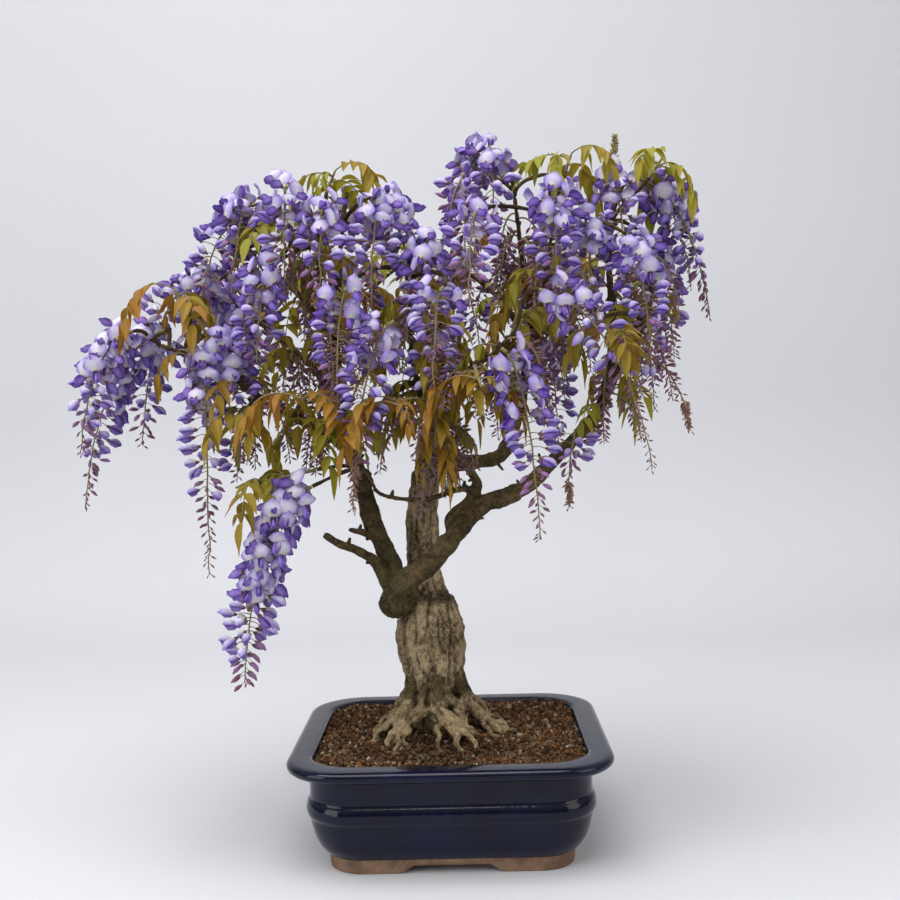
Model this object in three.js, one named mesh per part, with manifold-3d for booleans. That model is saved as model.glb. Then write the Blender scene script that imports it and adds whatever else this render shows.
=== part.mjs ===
// A wisteria bonsai in flower, in a glazed pot. Millimetres, +Z up, the front towards -Y.
// The plant is laid out about the pot's centre at table level. The finished group is then moved so that
// its origin is the centre of the whole object's footprint.
import * as THREE from "three";
import { mergeVertices } from "three/addons/utils/BufferGeometryUtils.js";
import Module from "manifold-3d";

const wasm = await Module();
wasm.setup();

// ---- driving dimensions -------------------------------------------------------------------------
const GAP = 0.3; // clearance where one piece lies on another
const SLIVER = 0.15; // edges shorter than this are merged
const CORNER_GAP = 0.02; // the least distance between two corners of a surface
const POT = {
  width: 328, // across the rim, along X
  depth: 304, // across the rim, along Y
  height: 113,
  corner: 60, // the rim's outer corner radius
  rim: 25, // how wide the flat rim is
  lip: 12, // how thick the rim's edge is
  floor: 20, // height of the inner floor above the table
  foot: 15, // height of the unglazed foot
  footInset: 39, // how far the foot stands in from the rim's edge
  footWall: 12,
  arch: 88, // the gap in each side of the foot
  archRise: 8,
  drainRadius: 14,
};
const SOIL_TOP = 106; // at the pot's wall
const SOIL_MOUND = 10; // how much higher the soil lies round the trunk
// A plastic net over a drain hole: how far from the middle, its side and thickness, its rows of holes,
// and how wide each bar is.
const MESH = { x: 55, side: 42, thick: 1.2, bars: 2, bar: 4 };

// The trunk: points of its centreline, then its radius at even steps up it.
const TRUNK_X = -14;
const TRUNK = [
  [-14, 0, 90], [-14, 0, 130], [-16, 0, 168], [-17, 0, 192], [-20, 0, 216], [-20, 0, 236], [-22, 2, 256],
  [-23, 4, 272], [-25, 8, 298], [-26, 12, 328], [-24, 16, 360], [-20, 22, 388],
];
const GIRTH = [44, 38, 31, 31, 35, 36, 28, 20, 16.5, 17.5, 16, 15];
const TWIG_BACK = 22; // a twig leaves the wood nearest to a point this far behind its end
const TWIG_END = 1.9; // radius of a twig's end, where a raceme or a leafy shoot grows on

// Boughs: points of the centreline, and the radii at its first and last point.
const BOUGHS = {
  crown: {
    points: [
      [-20, 22, 385], [-13, 30, 420], [-4, 40, 452], [-7, 45, 513], [-23, 40, 580], [-30, 36, 632],
    ],
    radii: [14, 3],
  },
  right: {
    points: [
      [-57, -32, 264], [-43, -48, 280], [-21, -56, 296], [2, -55, 319], [18, -48, 338], [42, -38, 359],
      [63, -28, 364], [89, -15, 376], [111, 0, 394], [140, 12, 421], [165, 20, 445], [179, 25, 480],
      [188, 30, 541], [184, 20, 606], [186, 5, 650],
    ],
    radii: [12, 2.6],
  },
  left: {
    points: [
      [-57, -32, 264], [-56, -32, 289], [-66, -30, 317], [-77, -30, 344], [-84, -28, 373],
      [-97, -20, 418], [-109, -10, 465], [-114, 0, 525], [-110, 8, 590], [-104, 6, 650],
    ],
    radii: [11.5, 2.6],
  },
  low: {
    points: [
      [-61, -36, 272], [-72, -45, 300], [-92, -58, 316], [-109, -66, 324], [-122, -72, 334],
    ],
    radii: [7.5, 3.6],
  },
  stub: {
    points: [
      [-68, -30, 318], [-82, -40, 330], [-100, -48, 336],
    ],
    radii: [4.6, 2.6],
  },
  inner: {
    points: [
      [7, -50, 326], [7, -42, 345], [22, -36, 358], [35, -30, 375], [26, -40, 396], [12, -50, 414],
      [-2, -60, 437], [-17, -68, 463], [-26, -70, 498], [-30, -66, 549], [-30, -55, 610],
    ],
    radii: [7.5, 2.4],
  },
  cross: {
    points: [
      [34, -31, 374], [14, -36, 374], [-15, -36, 365], [-46, -38, 366], [-69, -44, 374],
      [-76, -52, 392],
    ],
    radii: [4.2, 2.6],
  },
  back: {
    points: [
      [-22, 16, 372], [-2, 24, 396], [33, 40, 399], [62, 55, 405], [80, 70, 439], [93, 80, 490],
      [101, 80, 558], [91, 62, 637], [84, 36, 690],
    ],
    radii: [10, 2.4],
  },
  arm: {
    points: [
      [-84, -28, 380], [-102, -38, 418], [-127, -46, 440], [-150, -50, 453], [-185, -50, 474],
      [-215, -44, 496], [-249, -34, 513], [-286, -22, 530], [-306, -14, 536],
    ],
    radii: [6.5, 2.2],
  },
  arm_back: {
    points: [
      [-108, -8, 465], [-150, 45, 515], [-196, 78, 552], [-232, 72, 580],
    ],
    radii: [5, 2.2],
  },
  shoulder: {
    points: [
      [-113, 2, 530], [-142, -8, 575], [-172, -12, 606], [-192, -12, 640],
    ],
    radii: [4.5, 2.2],
  },
  front: {
    points: [
      [-113, 0, 520], [-118, -35, 550], [-122, -55, 592], [-120, -60, 636],
    ],
    radii: [4.4, 2.2],
  },
  outer: {
    points: [
      [179, 25, 482], [205, -5, 520], [222, -18, 568], [222, -14, 628],
    ],
    radii: [4.4, 2.2],
  },
  rear_right: {
    points: [
      [165, 20, 447], [190, 62, 480], [208, 84, 520], [212, 92, 566],
    ],
    radii: [4.6, 2.2],
  },
  rear: {
    points: [
      [98, 80, 530], [72, 110, 580], [40, 128, 612], [18, 132, 632],
    ],
    radii: [4.6, 2.2],
  },
  rear_left: {
    points: [
      [-6, 44, 505], [-45, 85, 548], [-85, 115, 590], [-108, 124, 622],
    ],
    radii: [5, 2.2],
  },
  centre: {
    points: [
      [92, 80, 487], [106, 30, 540], [112, -15, 590], [118, -40, 640],
    ],
    radii: [4.6, 2.2],
  },
  apron: {
    points: [
      [-18, -68, 465], [12, -78, 490], [44, -86, 505], [72, -88, 530],
    ],
    radii: [4, 2.2],
  },
};

// Flower spurs: where the twig ends, then the tip of each raceme that hangs (or stands) from it.
const SPURS = [
  { at: [-318, -44, 547], tips: [[-372, -60, 420]] },
  { at: [-292, -12, 550], tips: [[-384, -14, 362]] },
  { at: [-300, 28, 552], tips: [[-338, 50, 425]] },
  { at: [-240, -64, 537], tips: [[-241, -68, 292], [-200, -50, 425]] },
  { at: [-238, 22, 607], tips: [[-330, 30, 535], [-262, 62, 480]] },
  { at: [-190, -24, 678], tips: [[-250, -16, 580], [-206, -72, 590]] },
  { at: [-150, -66, 688], tips: [[-152, -92, 580]] },
  { at: [-112, -80, 668], tips: [[-115, -110, 540]] },
  { at: [-56, -56, 672], tips: [[-66, -104, 557], [-26, -70, 550]] },
  { at: [-86, -112, 580], tips: [[-100, -120, 462]] },
  { at: [-165, -72, 608], tips: [[-182, -86, 507]] },
  { at: [-214, 0, 570], tips: [[-220, 0, 478]] },
  { at: [-42, -116, 545], tips: [[-88, -114, 357]] },
  { at: [-10, -84, 530], tips: [[-6, -96, 420]] },
  { at: [-8, -64, 634], tips: [[-15, -96, 517]] },
  { at: [60, -20, 728], tips: [[10, -50, 637], [58, -56, 640]] },
  { at: [42, -84, 655], tips: [[30, -124, 556]] },
  { at: [115, -74, 680], tips: [[118, -90, 558]] },
  { at: [150, -48, 655], tips: [[156, -62, 525]] },
  { at: [178, -26, 698], tips: [[192, -54, 566], [186, -30, 748]] },
  { at: [216, 0, 697], tips: [[285, -12, 546], [276, 36, 583]] },
  { at: [190, -72, 628], tips: [[210, -84, 500]] },
  { at: [226, 30, 640], tips: [[250, 46, 507]] },
  { at: [98, -108, 572], tips: [[207, -100, 390]] },
  { at: [208, -24, 510], tips: [[258, -34, 428]] },
  { at: [60, -116, 516], tips: [[94, -116, 327]] },
  { at: [146, 0, 436], tips: [[132, -6, 350]] },
  { at: [-131, -86, 384], tips: [[-203, -98, 188]] },
  { at: [6, -112, 577], tips: [[-6, -120, 477]] },
  { at: [-235, 90, 606], tips: [[-288, 112, 468], [-215, 128, 470]] },
  { at: [-112, 142, 642], tips: [[-156, 172, 500], [-86, 182, 508]] },
  { at: [12, 158, 646], tips: [[-24, 188, 508], [46, 196, 505]] },
  { at: [130, 136, 642], tips: [[106, 184, 510], [178, 160, 498]] },
  { at: [222, 112, 580], tips: [[250, 140, 450]] },
  { at: [34, 62, 716], tips: [[28, 104, 606]] },
  { at: [-104, 62, 700], tips: [[-116, 104, 588]] },
  { at: [134, 60, 712], tips: [[150, 100, 600]] },
  { at: [0, 112, 548], tips: [[4, 136, 425]] },
  { at: [116, 106, 540], tips: [[134, 132, 415]] },
];

// Leafy shoots: where the twig ends, and the shoot's own tip.
const SHOOTS = [
  { at: [-118, 2, 694], tip: [-108, 0, 716] },
  { at: [-156, -24, 640], tip: [-168, -46, 658] },
  { at: [222, -24, 694], tip: [236, -30, 714] },
  { at: [134, -20, 700], tip: [142, -24, 722] },
  { at: [-262, -36, 566], tip: [-274, -44, 590] },
  { at: [-136, -84, 472], tip: [-138, -112, 472] },
  { at: [-46, -96, 470], tip: [-40, -124, 462] },
  { at: [34, -104, 500], tip: [40, -128, 478] },
  { at: [-128, -70, 400], tip: [-210, -78, 384] },
  { at: [-196, -60, 466], tip: [-214, -70, 450] },
  { at: [166, -60, 540], tip: [176, -84, 524] },
  { at: [-180, 108, 600], tip: [-188, 132, 618] },
  { at: [-40, 120, 640], tip: [-42, 150, 664] },
  { at: [180, 118, 620], tip: [190, 140, 640] },
];

// Surface roots: heading in degrees from +X, reach from the trunk's axis, and the radius at the trunk.
const ROOTS = [
  [-165, 88, 9], [-140, 96, 9], [-112, 84, 8], [-88, 98, 9.5], [-66, 70, 7], [-40, 92, 9], [-12, 86, 8.5],
  [22, 78, 8], [58, 82, 8.5], [96, 80, 8], [132, 84, 8.5], [172, 76, 7.5],
];

const BLOOM = { banner: 16, keel: 21, belly: 5.5, stalk: 17 }; // the banner petal's half width; lengths
const FLORETS = { full: 9, length: 200, fewest: 6 }; // how many a raceme of that length has
const RACHIS = 1.7; // radius of a raceme's stem
const LEAF = {
  perShoot: 3,
  stalk: 22, // bare stalk before the first leaflets
  rachis: 46, // from the first leaflets to the last
  leaflets: 5,
  length: 36, // of a leaflet
  half: 9, // half a leaflet's width
  thick: 1.3,
  stem: 1.2, // radius of the leaf's own stem
};
const FINISH = {
  glaze: { color: 0x0c1636, roughness: 0.12 },
  earth: { color: 0x5a3d26, roughness: 0.95 },
  net: { color: 0x1c1c1c, roughness: 0.6 },
  bark: { color: 0x6e5f48, roughness: 0.9 },
  petal: { color: 0x7d6bc0, roughness: 0.6 },
  leaf: { color: 0x8a7a24, roughness: 0.55 },
};
const GOLDEN = Math.PI * (3 - Math.sqrt(5));

// ---- helpers ------------------------------------------------------------------------------------
const vec = (p) => new THREE.Vector3(...p);
const UP = new THREE.Vector3(0, 0, 1);
const mix = (a, b, t) => a + (b - a) * t;

// Seeded draw from 0 to 1, the same each time the part is built.
let seed = 7;
function draw() {
  seed = (seed * 16807) % 2147483647;
  return seed / 2147483647;
}

// A closed geometry as a solid, its corners merged.
function solid(geometry) {
  const bare = geometry.clone();
  bare.deleteAttribute("normal");
  bare.deleteAttribute("uv");
  const merged = mergeVertices(bare, 1e-4);
  const made = new wasm.Manifold(
    new wasm.Mesh({
      numProp: 3,
      vertProperties: new Float32Array(merged.attributes.position.array),
      triVerts: new Uint32Array(merged.index.array),
    }),
  );
  return made;
}

const fuse = (solids) => wasm.Manifold.union(solids);

// The largest body of a solid: a scrap that a cut leaves loose is dropped.
function whole(made) {
  return made.decompose().reduce((a, b) => (b.volume() > a.volume() ? b : a));
}

// The slivers that joins and cuts leave are merged away.
const trimmed = (made) => whole(made.asOriginal().simplify(SLIVER));

function geometryOf(made) {
  const { vertProperties, triVerts } = trimmed(made).getMesh();
  return new THREE.BufferGeometry()
    .setAttribute("position", new THREE.BufferAttribute(new Float32Array(vertProperties), 3))
    .setIndex(new THREE.BufferAttribute(new Uint32Array(triVerts), 1));
}

// A capped cylinder bent along a curve, or along the part of it between two shares of its length.
// radius(t, angle) is the distance from the centreline.
function limb(curve, radius, sides, steps, [from, to] = [0, 1]) {
  const geometry = new THREE.CylinderGeometry(1, 1, 1, sides, steps);
  const frames = curve.computeFrenetFrames(steps);
  const position = geometry.attributes.position;
  for (let i = 0; i < position.count; i++) {
    const step = Math.round((position.getY(i) + 0.5) * steps);
    const t = mix(from, to, step / steps);
    const [x, z] = [position.getX(i), position.getZ(i)];
    const r = Math.hypot(x, z) < 0.5 ? 0 : radius(t, Math.atan2(z, x));
    const at = curve.getPointAt(t);
    at.addScaledVector(frames.normals[step], r * x).addScaledVector(frames.binormals[step], -r * z);
    position.setXYZ(i, at.x, at.y, at.z);
  }
  return solid(geometry);
}

const through = (points) => new THREE.CatmullRomCurve3(points.map(vec), false, "centripetal");

// A closed solid through given points, from faces of three or more points each.
function shell(points, polygons) {
  const faces = polygons.flatMap(([first, ...rest]) =>
    rest.slice(1).flatMap((p, i) => [first, rest[i], p]),
  );
  const geometry = new THREE.BufferGeometry().setFromPoints(points);
  const made = solid(geometry.setIndex(faces));
  if (made.volume() > 0) return made;
  return solid(geometry.setIndex(faces.reverse()));
}

// ---- pot ----------------------------------------------------------------------------------------
function roundedRectangle(width, depth, corner) {
  const [x, y] = [width / 2 - corner, depth / 2 - corner];
  const shape = new THREE.Shape();
  shape.moveTo(x, -y - corner);
  shape.absarc(x, -y, corner, -Math.PI / 2, 0);
  shape.absarc(x, y, corner, 0, Math.PI / 2);
  shape.absarc(-x, y, corner, Math.PI / 2, Math.PI);
  shape.absarc(-x, -y, corner, Math.PI, 1.5 * Math.PI);
  return shape;
}

const CORNER_STEPS = 3;

// A ring of points round the pot, inset from the rim's edge.
function outline(inset) {
  const corner = Math.max(POT.corner - inset * 0.6, 8);
  const shape = roundedRectangle(POT.width - 2 * inset, POT.depth - 2 * inset, corner);
  return shape.extractPoints(CORNER_STEPS).shape;
}

// A closed solid through a stack of outlines, each [inset, height].
function stack(levels) {
  const rings = levels.map(([inset, height]) =>
    outline(inset).map((p) => new THREE.Vector3(p.x, p.y, height)),
  );
  const around = rings[0].length;
  const places = [...Array(around).keys()];
  const bands = rings.slice(1).flatMap((_, k) =>
    places.map((i) => {
      const [a, b] = [i, (i + 1) % around].map((j) => k * around + j);
      return [a, b, b + around, a + around];
    }),
  );
  const lid = places.map((i) => (rings.length - 1) * around + i);
  return shell(rings.flat(), [...bands, lid, places.toReversed()]);
}

const POT_OUTSIDE = [
  [POT.footInset + 1, 0], [POT.footInset, POT.foot - 1], [36, POT.foot], [28, 26], [23, 42], [21, 54],
  [18.5, 57], [17.5, 63], [19, 70], [21.5, 73], [21.5, POT.height - POT.lip - 2],
  [4, POT.height - POT.lip], [0, POT.height - 8], [0.5, POT.height - 3], [4, POT.height],
];
// The inner wall, each [inset, height]: it leans out from the floor, and again below the rim.
const POT_INSIDE = [[41, POT.floor], [31, 60], [30, 94], [POT.rim, POT.height]];

function insideAt(height) {
  const k = POT_INSIDE.findIndex(([, top]) => top >= height);
  const [[low, from], [high, to]] = [POT_INSIDE[Math.max(k - 1, 0)], POT_INSIDE[Math.max(k, 1)]];
  return mix(low, high, (height - from) / (to - from));
}

function box(size, at) {
  return solid(new THREE.BoxGeometry(...size).translate(...at));
}

function pot() {
  const inside = [...POT_INSIDE, [POT.rim, POT.height + 1]];
  const under = [-1, POT.foot - 6].map((height) => [POT.footInset + POT.footWall, height]);
  const cuts = [stack(inside), stack(under)];
  const arch = 2 * (POT.archRise + 1);
  cuts.push(box([POT.arch, POT.depth + 2, arch], [0, 0, 0]));
  cuts.push(box([POT.width + 2, POT.arch, arch], [0, 0, 0]));
  for (const x of [-MESH.x, MESH.x]) {
    const drain = new THREE.CylinderGeometry(POT.drainRadius, POT.drainRadius, 60, 12);
    cuts.push(solid(drain.rotateX(Math.PI / 2).translate(x, 0, 10)));
  }
  return stack(POT_OUTSIDE).subtract(fuse(cuts));
}

// A square of plastic net, lying over a drain hole under the soil.
function drainNet(x) {
  const { side, thick, bars, bar } = MESH;
  const pitch = (side - bar) / bars;
  const hole = pitch - bar;
  const centres = [...Array(bars).keys()].map((k) => (k - (bars - 1) / 2) * pitch);
  const holes = centres.flatMap((i) => centres.map((j) => box([hole, hole, 3 * thick], [x + i, j, 0])));
  const sheet = box([side, side, thick], [x, 0, 0]);
  return sheet.subtract(fuse(holes)).translate([0, 0, POT.floor + GAP + thick / 2]);
}

// ---- tree ---------------------------------------------------------------------------------------
const TRUNK_SIDES = 14;
const TRUNK_STEPS = 13;
const trunkLine = through(TRUNK);
const ribs = (angle, t) => 1 + 0.07 * Math.cos(5 * angle + 4 * t) + 0.04 * Math.cos(9 * angle - 7 * t);

function girthAt(t) {
  const step = t * (GIRTH.length - 1);
  const low = Math.min(Math.floor(step), GIRTH.length - 2);
  return mix(GIRTH[low], GIRTH[low + 1], step - low);
}

const trunk = (spare, span) =>
  limb(trunkLine, (t, angle) => girthAt(t) * ribs(angle, t) + spare, TRUNK_SIDES, TRUNK_STEPS, span);

function root([heading, reach, radius], spare, span) {
  const turn = THREE.MathUtils.degToRad(heading);
  const sway = 0.25 * Math.sin(heading * 1.7);
  const at = (share, height, swing) => {
    const angle = turn + swing * sway;
    return [TRUNK_X + Math.cos(angle) * reach * share, Math.sin(angle) * reach * share, height];
  };
  const stops = [at(0.1, 150, 0), at(0.38, 134, 0), at(0.6, 122, 1), at(0.82, 112, 1), at(1, 95, 1.6)];
  const line = through(stops);
  return limb(line, (t) => radius * mix(1, 0.5, t) + spare, 6, 4, span);
}

const boughs = Object.values(BOUGHS).map(({ points, radii }) => {
  const line = through(points);
  const steps = points.length - 1;
  return { line, steps, rings: line.getSpacedPoints(steps), radii };
});

// The nearest point of any bough's axis to a spot, rather from below it than from above.
function nearestWood(spot) {
  let best = { reach: Infinity };
  for (const { steps, rings, radii } of boughs) {
    for (let k = 0; k < steps; k++) {
      const axis = new THREE.Line3(rings[k], rings[k + 1]);
      const point = axis.closestPointToPoint(spot, true, new THREE.Vector3());
      const reach = point.distanceTo(spot) + 0.6 * Math.max(0, point.z - spot.z);
      const radius = mix(...radii, (k + 0.5) / steps);
      const along = axis.delta(new THREE.Vector3()).normalize();
      if (reach < best.reach) best = { reach, point, radius, along };
    }
  }
  return best;
}

// The twig from the nearest bough to a place, arriving there in the direction given.
function twig(at, direction) {
  const end = vec(at);
  const { point, radius, along } = nearestWood(end.clone().addScaledVector(direction, -TWIG_BACK));
  const length = point.distanceTo(end);
  const second = point.clone().addScaledVector(along, 0.3 * length);
  const third = end.clone().addScaledVector(direction, -0.4 * length);
  const line = new THREE.CubicBezierCurve3(point, second, third, end);
  const thick = Math.min(3.4, 0.9 * radius);
  return limb(line, (t) => mix(thick, TWIG_END, Math.min(1, 1.3 * t)), 4, 2);
}

function tree() {
  const knob = new THREE.IcosahedronGeometry(18, 1).scale(1, 0.9, 0.95).translate(-55, -26, 256);
  const shoulder = limb(through([[-24, 2, 262], [-40, -14, 262], [-56, -30, 264]]), () => 13, 8, 2);
  const wood = [trunk(0, [0.01, 1]), solid(knob), shoulder, ...ROOTS.map((one) => root(one, 0, [0, 0.97]))];
  for (const { line, steps, radii } of boughs) {
    const lumps = (t) => 1 + 0.1 * Math.sin(23 * t + steps);
    wood.push(limb(line, (t) => mix(...radii, t) * lumps(t), radii[0] > 7 ? 7 : 5, steps));
  }
  for (const spur of SPURS) wood.push(twig(spur.at, spurDirection(spur)));
  for (const shoot of SHOOTS) wood.push(twig(shoot.at, shootDirection(shoot)));
  return whole(fuse(wood));
}

// The soil fills the pot to its rim, heaped round the trunk, with a plain hole for the trunk and each root.
function soil(nets) {
  const mound = stack([
    [insideAt(POT.floor) + GAP, POT.floor + GAP],
    [insideAt(60) + GAP, 60],
    [insideAt(94) + GAP, 94],
    [insideAt(SOIL_TOP) + GAP, SOIL_TOP],
    [64, SOIL_TOP + 0.7 * SOIL_MOUND],
    [105, SOIL_TOP + SOIL_MOUND],
  ]);
  const holes = [trunk(1.8, [0, 1]), ...ROOTS.map((one) => root(one, 1.5, [0, 1]))];
  for (const net of nets) {
    const { min, max } = net.boundingBox();
    const size = min.map((v, k) => max[k] - v + 2 * GAP);
    holes.push(box(size, min.map((v, k) => (v + max[k]) / 2)));
  }
  return whole(mound.subtract(fuse(holes)));
}

// ---- stems of the racemes and the leafy shoots -----------------------------------------------------
// A raceme leaves its spur outwards, and soon hangs under its own weight.
function racemeLine(at, tip) {
  const [a, b] = [vec(at), vec(tip)];
  const aside = b.clone().sub(a).setZ(0);
  const drop = a.z - b.z;
  const first = a.clone().addScaledVector(aside, 0.5).setZ(a.z - 0.08 * drop);
  const second = a.clone().addScaledVector(aside, 0.9).setZ(a.z - 0.5 * drop);
  return new THREE.CubicBezierCurve3(a, first, second, b);
}

function spurDirection({ at, tips }) {
  const sum = new THREE.Vector3();
  for (const tip of tips) sum.add(racemeLine(at, tip).getTangentAt(0));
  return sum.normalize();
}

const shootDirection = ({ at, tip }) => vec(tip).sub(vec(at)).normalize();

// A spur's stem stands a hair's breadth off its twig's end, and its racemes hang from there.
function spurStem(spur) {
  const direction = spurDirection(spur);
  const [foot, neck, fork] = [2 * GAP, 8, 6].map((d) => vec(spur.at).addScaledVector(direction, d));
  const stalk = limb(new THREE.LineCurve3(foot, neck), () => TWIG_END, 4, 1);
  const lines = spur.tips.map((tip) => racemeLine(fork.toArray(), tip));
  const stems = lines.map((line) => limb(line, (t) => RACHIS * mix(1, 0.55, t), 3, 4));
  return { lines, stem: fuse([stalk, ...stems]) };
}

function shootStem(shoot) {
  const foot = vec(shoot.at).addScaledVector(shootDirection(shoot), 2 * GAP);
  const line = new THREE.LineCurve3(foot, vec(shoot.tip));
  return { lines: [line], stem: limb(line, () => TWIG_END, 4, 1) };
}

// ---- florets and leaves ----------------------------------------------------------------------------
// An open flower in one skin: a stalk that swells into the keel, and the banner petal standing on its back.
function flower(root, out, size) {
  const across = out.clone().cross(UP).normalize();
  const rise = UP.clone().addScaledVector(out, 0.25).normalize();
  const half = BLOOM.banner * size;
  const neck = root.clone().addScaledVector(out, BLOOM.stalk * size);
  const from = (base, a, u, o) =>
    base.clone().addScaledVector(across, a).addScaledVector(rise, u).addScaledVector(out, o);
  const belly = BLOOM.belly * size;
  const keel = BLOOM.keel * size;
  const toe = from(neck, 0, -0.7 * keel, 0.7 * keel);
  const [left, right] = [belly, -belly].map((a) => from(neck, a, 0, 0));
  const under = from(neck, 0, -belly, 0);
  const [wingLeft, wingRight] = [half, -half].map((a) => from(neck, a, 0.8 * half, -0.2 * half));
  const [front, back] = [1.5, -1.5].map((o) => from(neck, 0, 0.75 * half, o));
  const top = from(neck, 0, 1.8 * half, -0.1 * half);
  return shell(
    [root, toe, left, right, under, wingLeft, wingRight, front, back, top],
    [[7, 9, 5], [7, 5, 2], [7, 6, 9], [7, 3, 6], [7, 2, 1], [7, 1, 3], [8, 5, 9], [8, 2, 5], [8, 9, 6],
      [8, 6, 3], [8, 0, 2], [8, 3, 0], [1, 2, 4], [3, 1, 4], [2, 0, 4], [0, 3, 4]],
  );
}

// A bud: a three-sided spindle on its stalk.
function bud(root, out, size) {
  const down = out.clone().addScaledVector(UP, -0.4).normalize();
  const across = down.clone().cross(UP).normalize();
  const over = across.clone().cross(down);
  const length = (BLOOM.stalk + 0.8 * BLOOM.keel) * size;
  const ring = [0, 1, 2].map((k) => {
    const turn = (k * 2 * Math.PI) / 3;
    const at = root.clone().addScaledVector(down, 0.68 * length);
    const half = 1.1 * BLOOM.belly * size;
    return at.addScaledVector(across, half * Math.cos(turn)).addScaledVector(over, half * Math.sin(turn));
  });
  const toe = root.clone().addScaledVector(down, length);
  return shell([root, toe, ...ring], [[0, 2, 3], [0, 3, 4], [0, 4, 2], [1, 3, 2], [1, 4, 3], [1, 2, 4]]);
}

// Each floret's place on its raceme: open flowers over the upper half, then buds that shrink to the tip.
function floretsOf(line) {
  const count = Math.max(FLORETS.fewest, Math.round((FLORETS.full * line.getLength()) / FLORETS.length));
  return [...Array(count).keys()].map((i) => {
    const t = mix(0.09, 0.98, i / (count - 1));
    const along = line.getTangentAt(t);
    const side = along.clone().cross(vec([0.3, 1, 0.1])).normalize();
    const other = along.clone().cross(side);
    const size = mix(1.15, 0.45, t) * mix(0.92, 1.08, draw());
    const make = (turn) => {
      const out = side.clone().multiplyScalar(Math.cos(turn)).addScaledVector(other, Math.sin(turn));
      if (t > 0.6) out.addScaledVector(along, 0.5);
      out.normalize();
      return (t < 0.6 ? flower : bud)(line.getPointAt(t).addScaledVector(out, -0.4), out, size);
    };
    return { make, turn: i * GOLDEN + draw() };
  });
}

// A leaflet folded along its rib, as a skin over five points.
function leaflet(root, towards, size) {
  const length = LEAF.length * size;
  const across = towards.clone().cross(UP).normalize();
  const over = across.clone().cross(towards).normalize();
  const tip = root.clone().addScaledVector(towards, length).addScaledVector(UP, -0.12 * length);
  const middle = root.clone().addScaledVector(towards, 0.42 * length);
  const sides = [1, -1].map((s) => middle.clone().addScaledVector(across, s * LEAF.half * size));
  const under = middle.clone().addScaledVector(over, -1.6 * LEAF.thick);
  const points = [root, tip, ...sides.map((p) => p.addScaledVector(over, -LEAF.thick)), under];
  return shell(points, [[0, 2, 1], [0, 1, 3], [0, 4, 2], [2, 4, 1], [1, 4, 3], [3, 4, 0]]);
}

// A compound leaf: a bare stalk, then leaflets in pairs and one at the end.
function leaf(root, heading, size) {
  const out = vec([Math.cos(heading), Math.sin(heading), 0]);
  const reach = (LEAF.stalk + LEAF.rachis) * size;
  const middle = root.clone().addScaledVector(out, 0.55 * reach).addScaledVector(UP, 0.28 * reach);
  const end = root.clone().addScaledVector(out, 0.95 * reach).addScaledVector(UP, -0.14 * reach);
  const line = new THREE.QuadraticBezierCurve3(root, middle, end);
  const parts = [limb(line, () => LEAF.stem, 3, 2)];
  const pairs = (LEAF.leaflets - 1) / 2;
  for (let i = 0; i < LEAF.leaflets; i++) {
    const last = i === LEAF.leaflets - 1;
    const t = last ? 0.97 : mix(0.45, 0.8, Math.floor(i / 2) / (pairs - 1));
    const along = line.getTangentAt(t);
    const side = along.clone().cross(UP).normalize().multiplyScalar(i % 2 ? 0.8 : -0.8);
    const towards = last ? along : side.addScaledVector(along, 0.55).addScaledVector(UP, -0.45).normalize();
    parts.push(leaflet(line.getPointAt(t), towards, size * mix(0.9, 1.1, draw())));
  }
  return fuse(parts);
}

function leavesOf(line) {
  return [...Array(LEAF.perShoot).keys()].map((i) => {
    const size = mix(0.9, 1.15, draw());
    const make = (turn) => leaf(line.getPointAt(mix(0.4, 0.95, i / (LEAF.perShoot - 1))), turn, size);
    return { make, turn: i * GOLDEN + line.v1.x * 0.05 };
  });
}

// ---- assembly -----------------------------------------------------------------------------------
// Pieces already placed. A floret or a leaf that would touch one is turned about its stem until it is
// clear, and left off where no turn clears it.
const placed = [];
const TURNS = [0, 0.6, -0.6, 1.3, -1.3, 2.1, -2.1, 3];

function place(made, stemOf = null) {
  placed.push({ made, stemOf, box: made.boundingBox() });
  return made;
}

function isClear(made, owner) {
  const { min, max } = made.boundingBox();
  const near = ({ box }) => [0, 1, 2].every((k) => min[k] - 1 <= box.max[k] && box.min[k] - 1 <= max[k]);
  const open = (other) => made.minGap(other.made, 2) > 3 * GAP;
  return placed.every((other) => other.stemOf === owner || !near(other) || open(other));
}

// A join is clean where trimming its slivers cuts nothing off, and no two corners of its surface nearly
// meet, so that rounding can't close the gap between them.
function isClean(made) {
  if (trimmed(made).volume() < 0.98 * made.volume()) return false;
  const corners = geometryOf(made).attributes.position;
  const points = [...Array(corners.count).keys()].map((i) =>
    new THREE.Vector3().fromBufferAttribute(corners, i),
  );
  points.sort((a, b) => a.x - b.x);
  return points.every((p, i) => {
    for (let j = i + 1; j < points.length && points[j].x - p.x < CORNER_GAP; j++)
      if (p.distanceTo(points[j]) < CORNER_GAP) return false;
    return true;
  });
}

function growOn(owner, growths) {
  let body = owner.stem;
  for (const { make, turn } of growths)
    for (const more of TURNS) {
      const grown = make(turn + more);
      if (!isClear(grown, owner)) continue;
      const joined = body.add(grown);
      if (!isClean(joined)) continue;
      body = joined;
      place(grown);
      break;
    }
  return whole(body);
}

const object = new THREE.Group();

function add(name, made, finish) {
  const material = new THREE.MeshStandardMaterial({ metalness: 0, ...FINISH[finish] });
  const mesh = new THREE.Mesh(geometryOf(made), material);
  mesh.name = name;
  object.add(mesh);
}

const numbered = (name, i) => `${name}_${String(i + 1).padStart(2, "0")}`;
const nets = [-MESH.x, MESH.x].map(drainNet);
add("pot", place(pot()), "glaze");
add("drain_net_left", nets[0], "net");
add("drain_net_right", nets[1], "net");
add("soil", place(soil(nets)), "earth");
add("tree", place(tree()), "bark");

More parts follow.
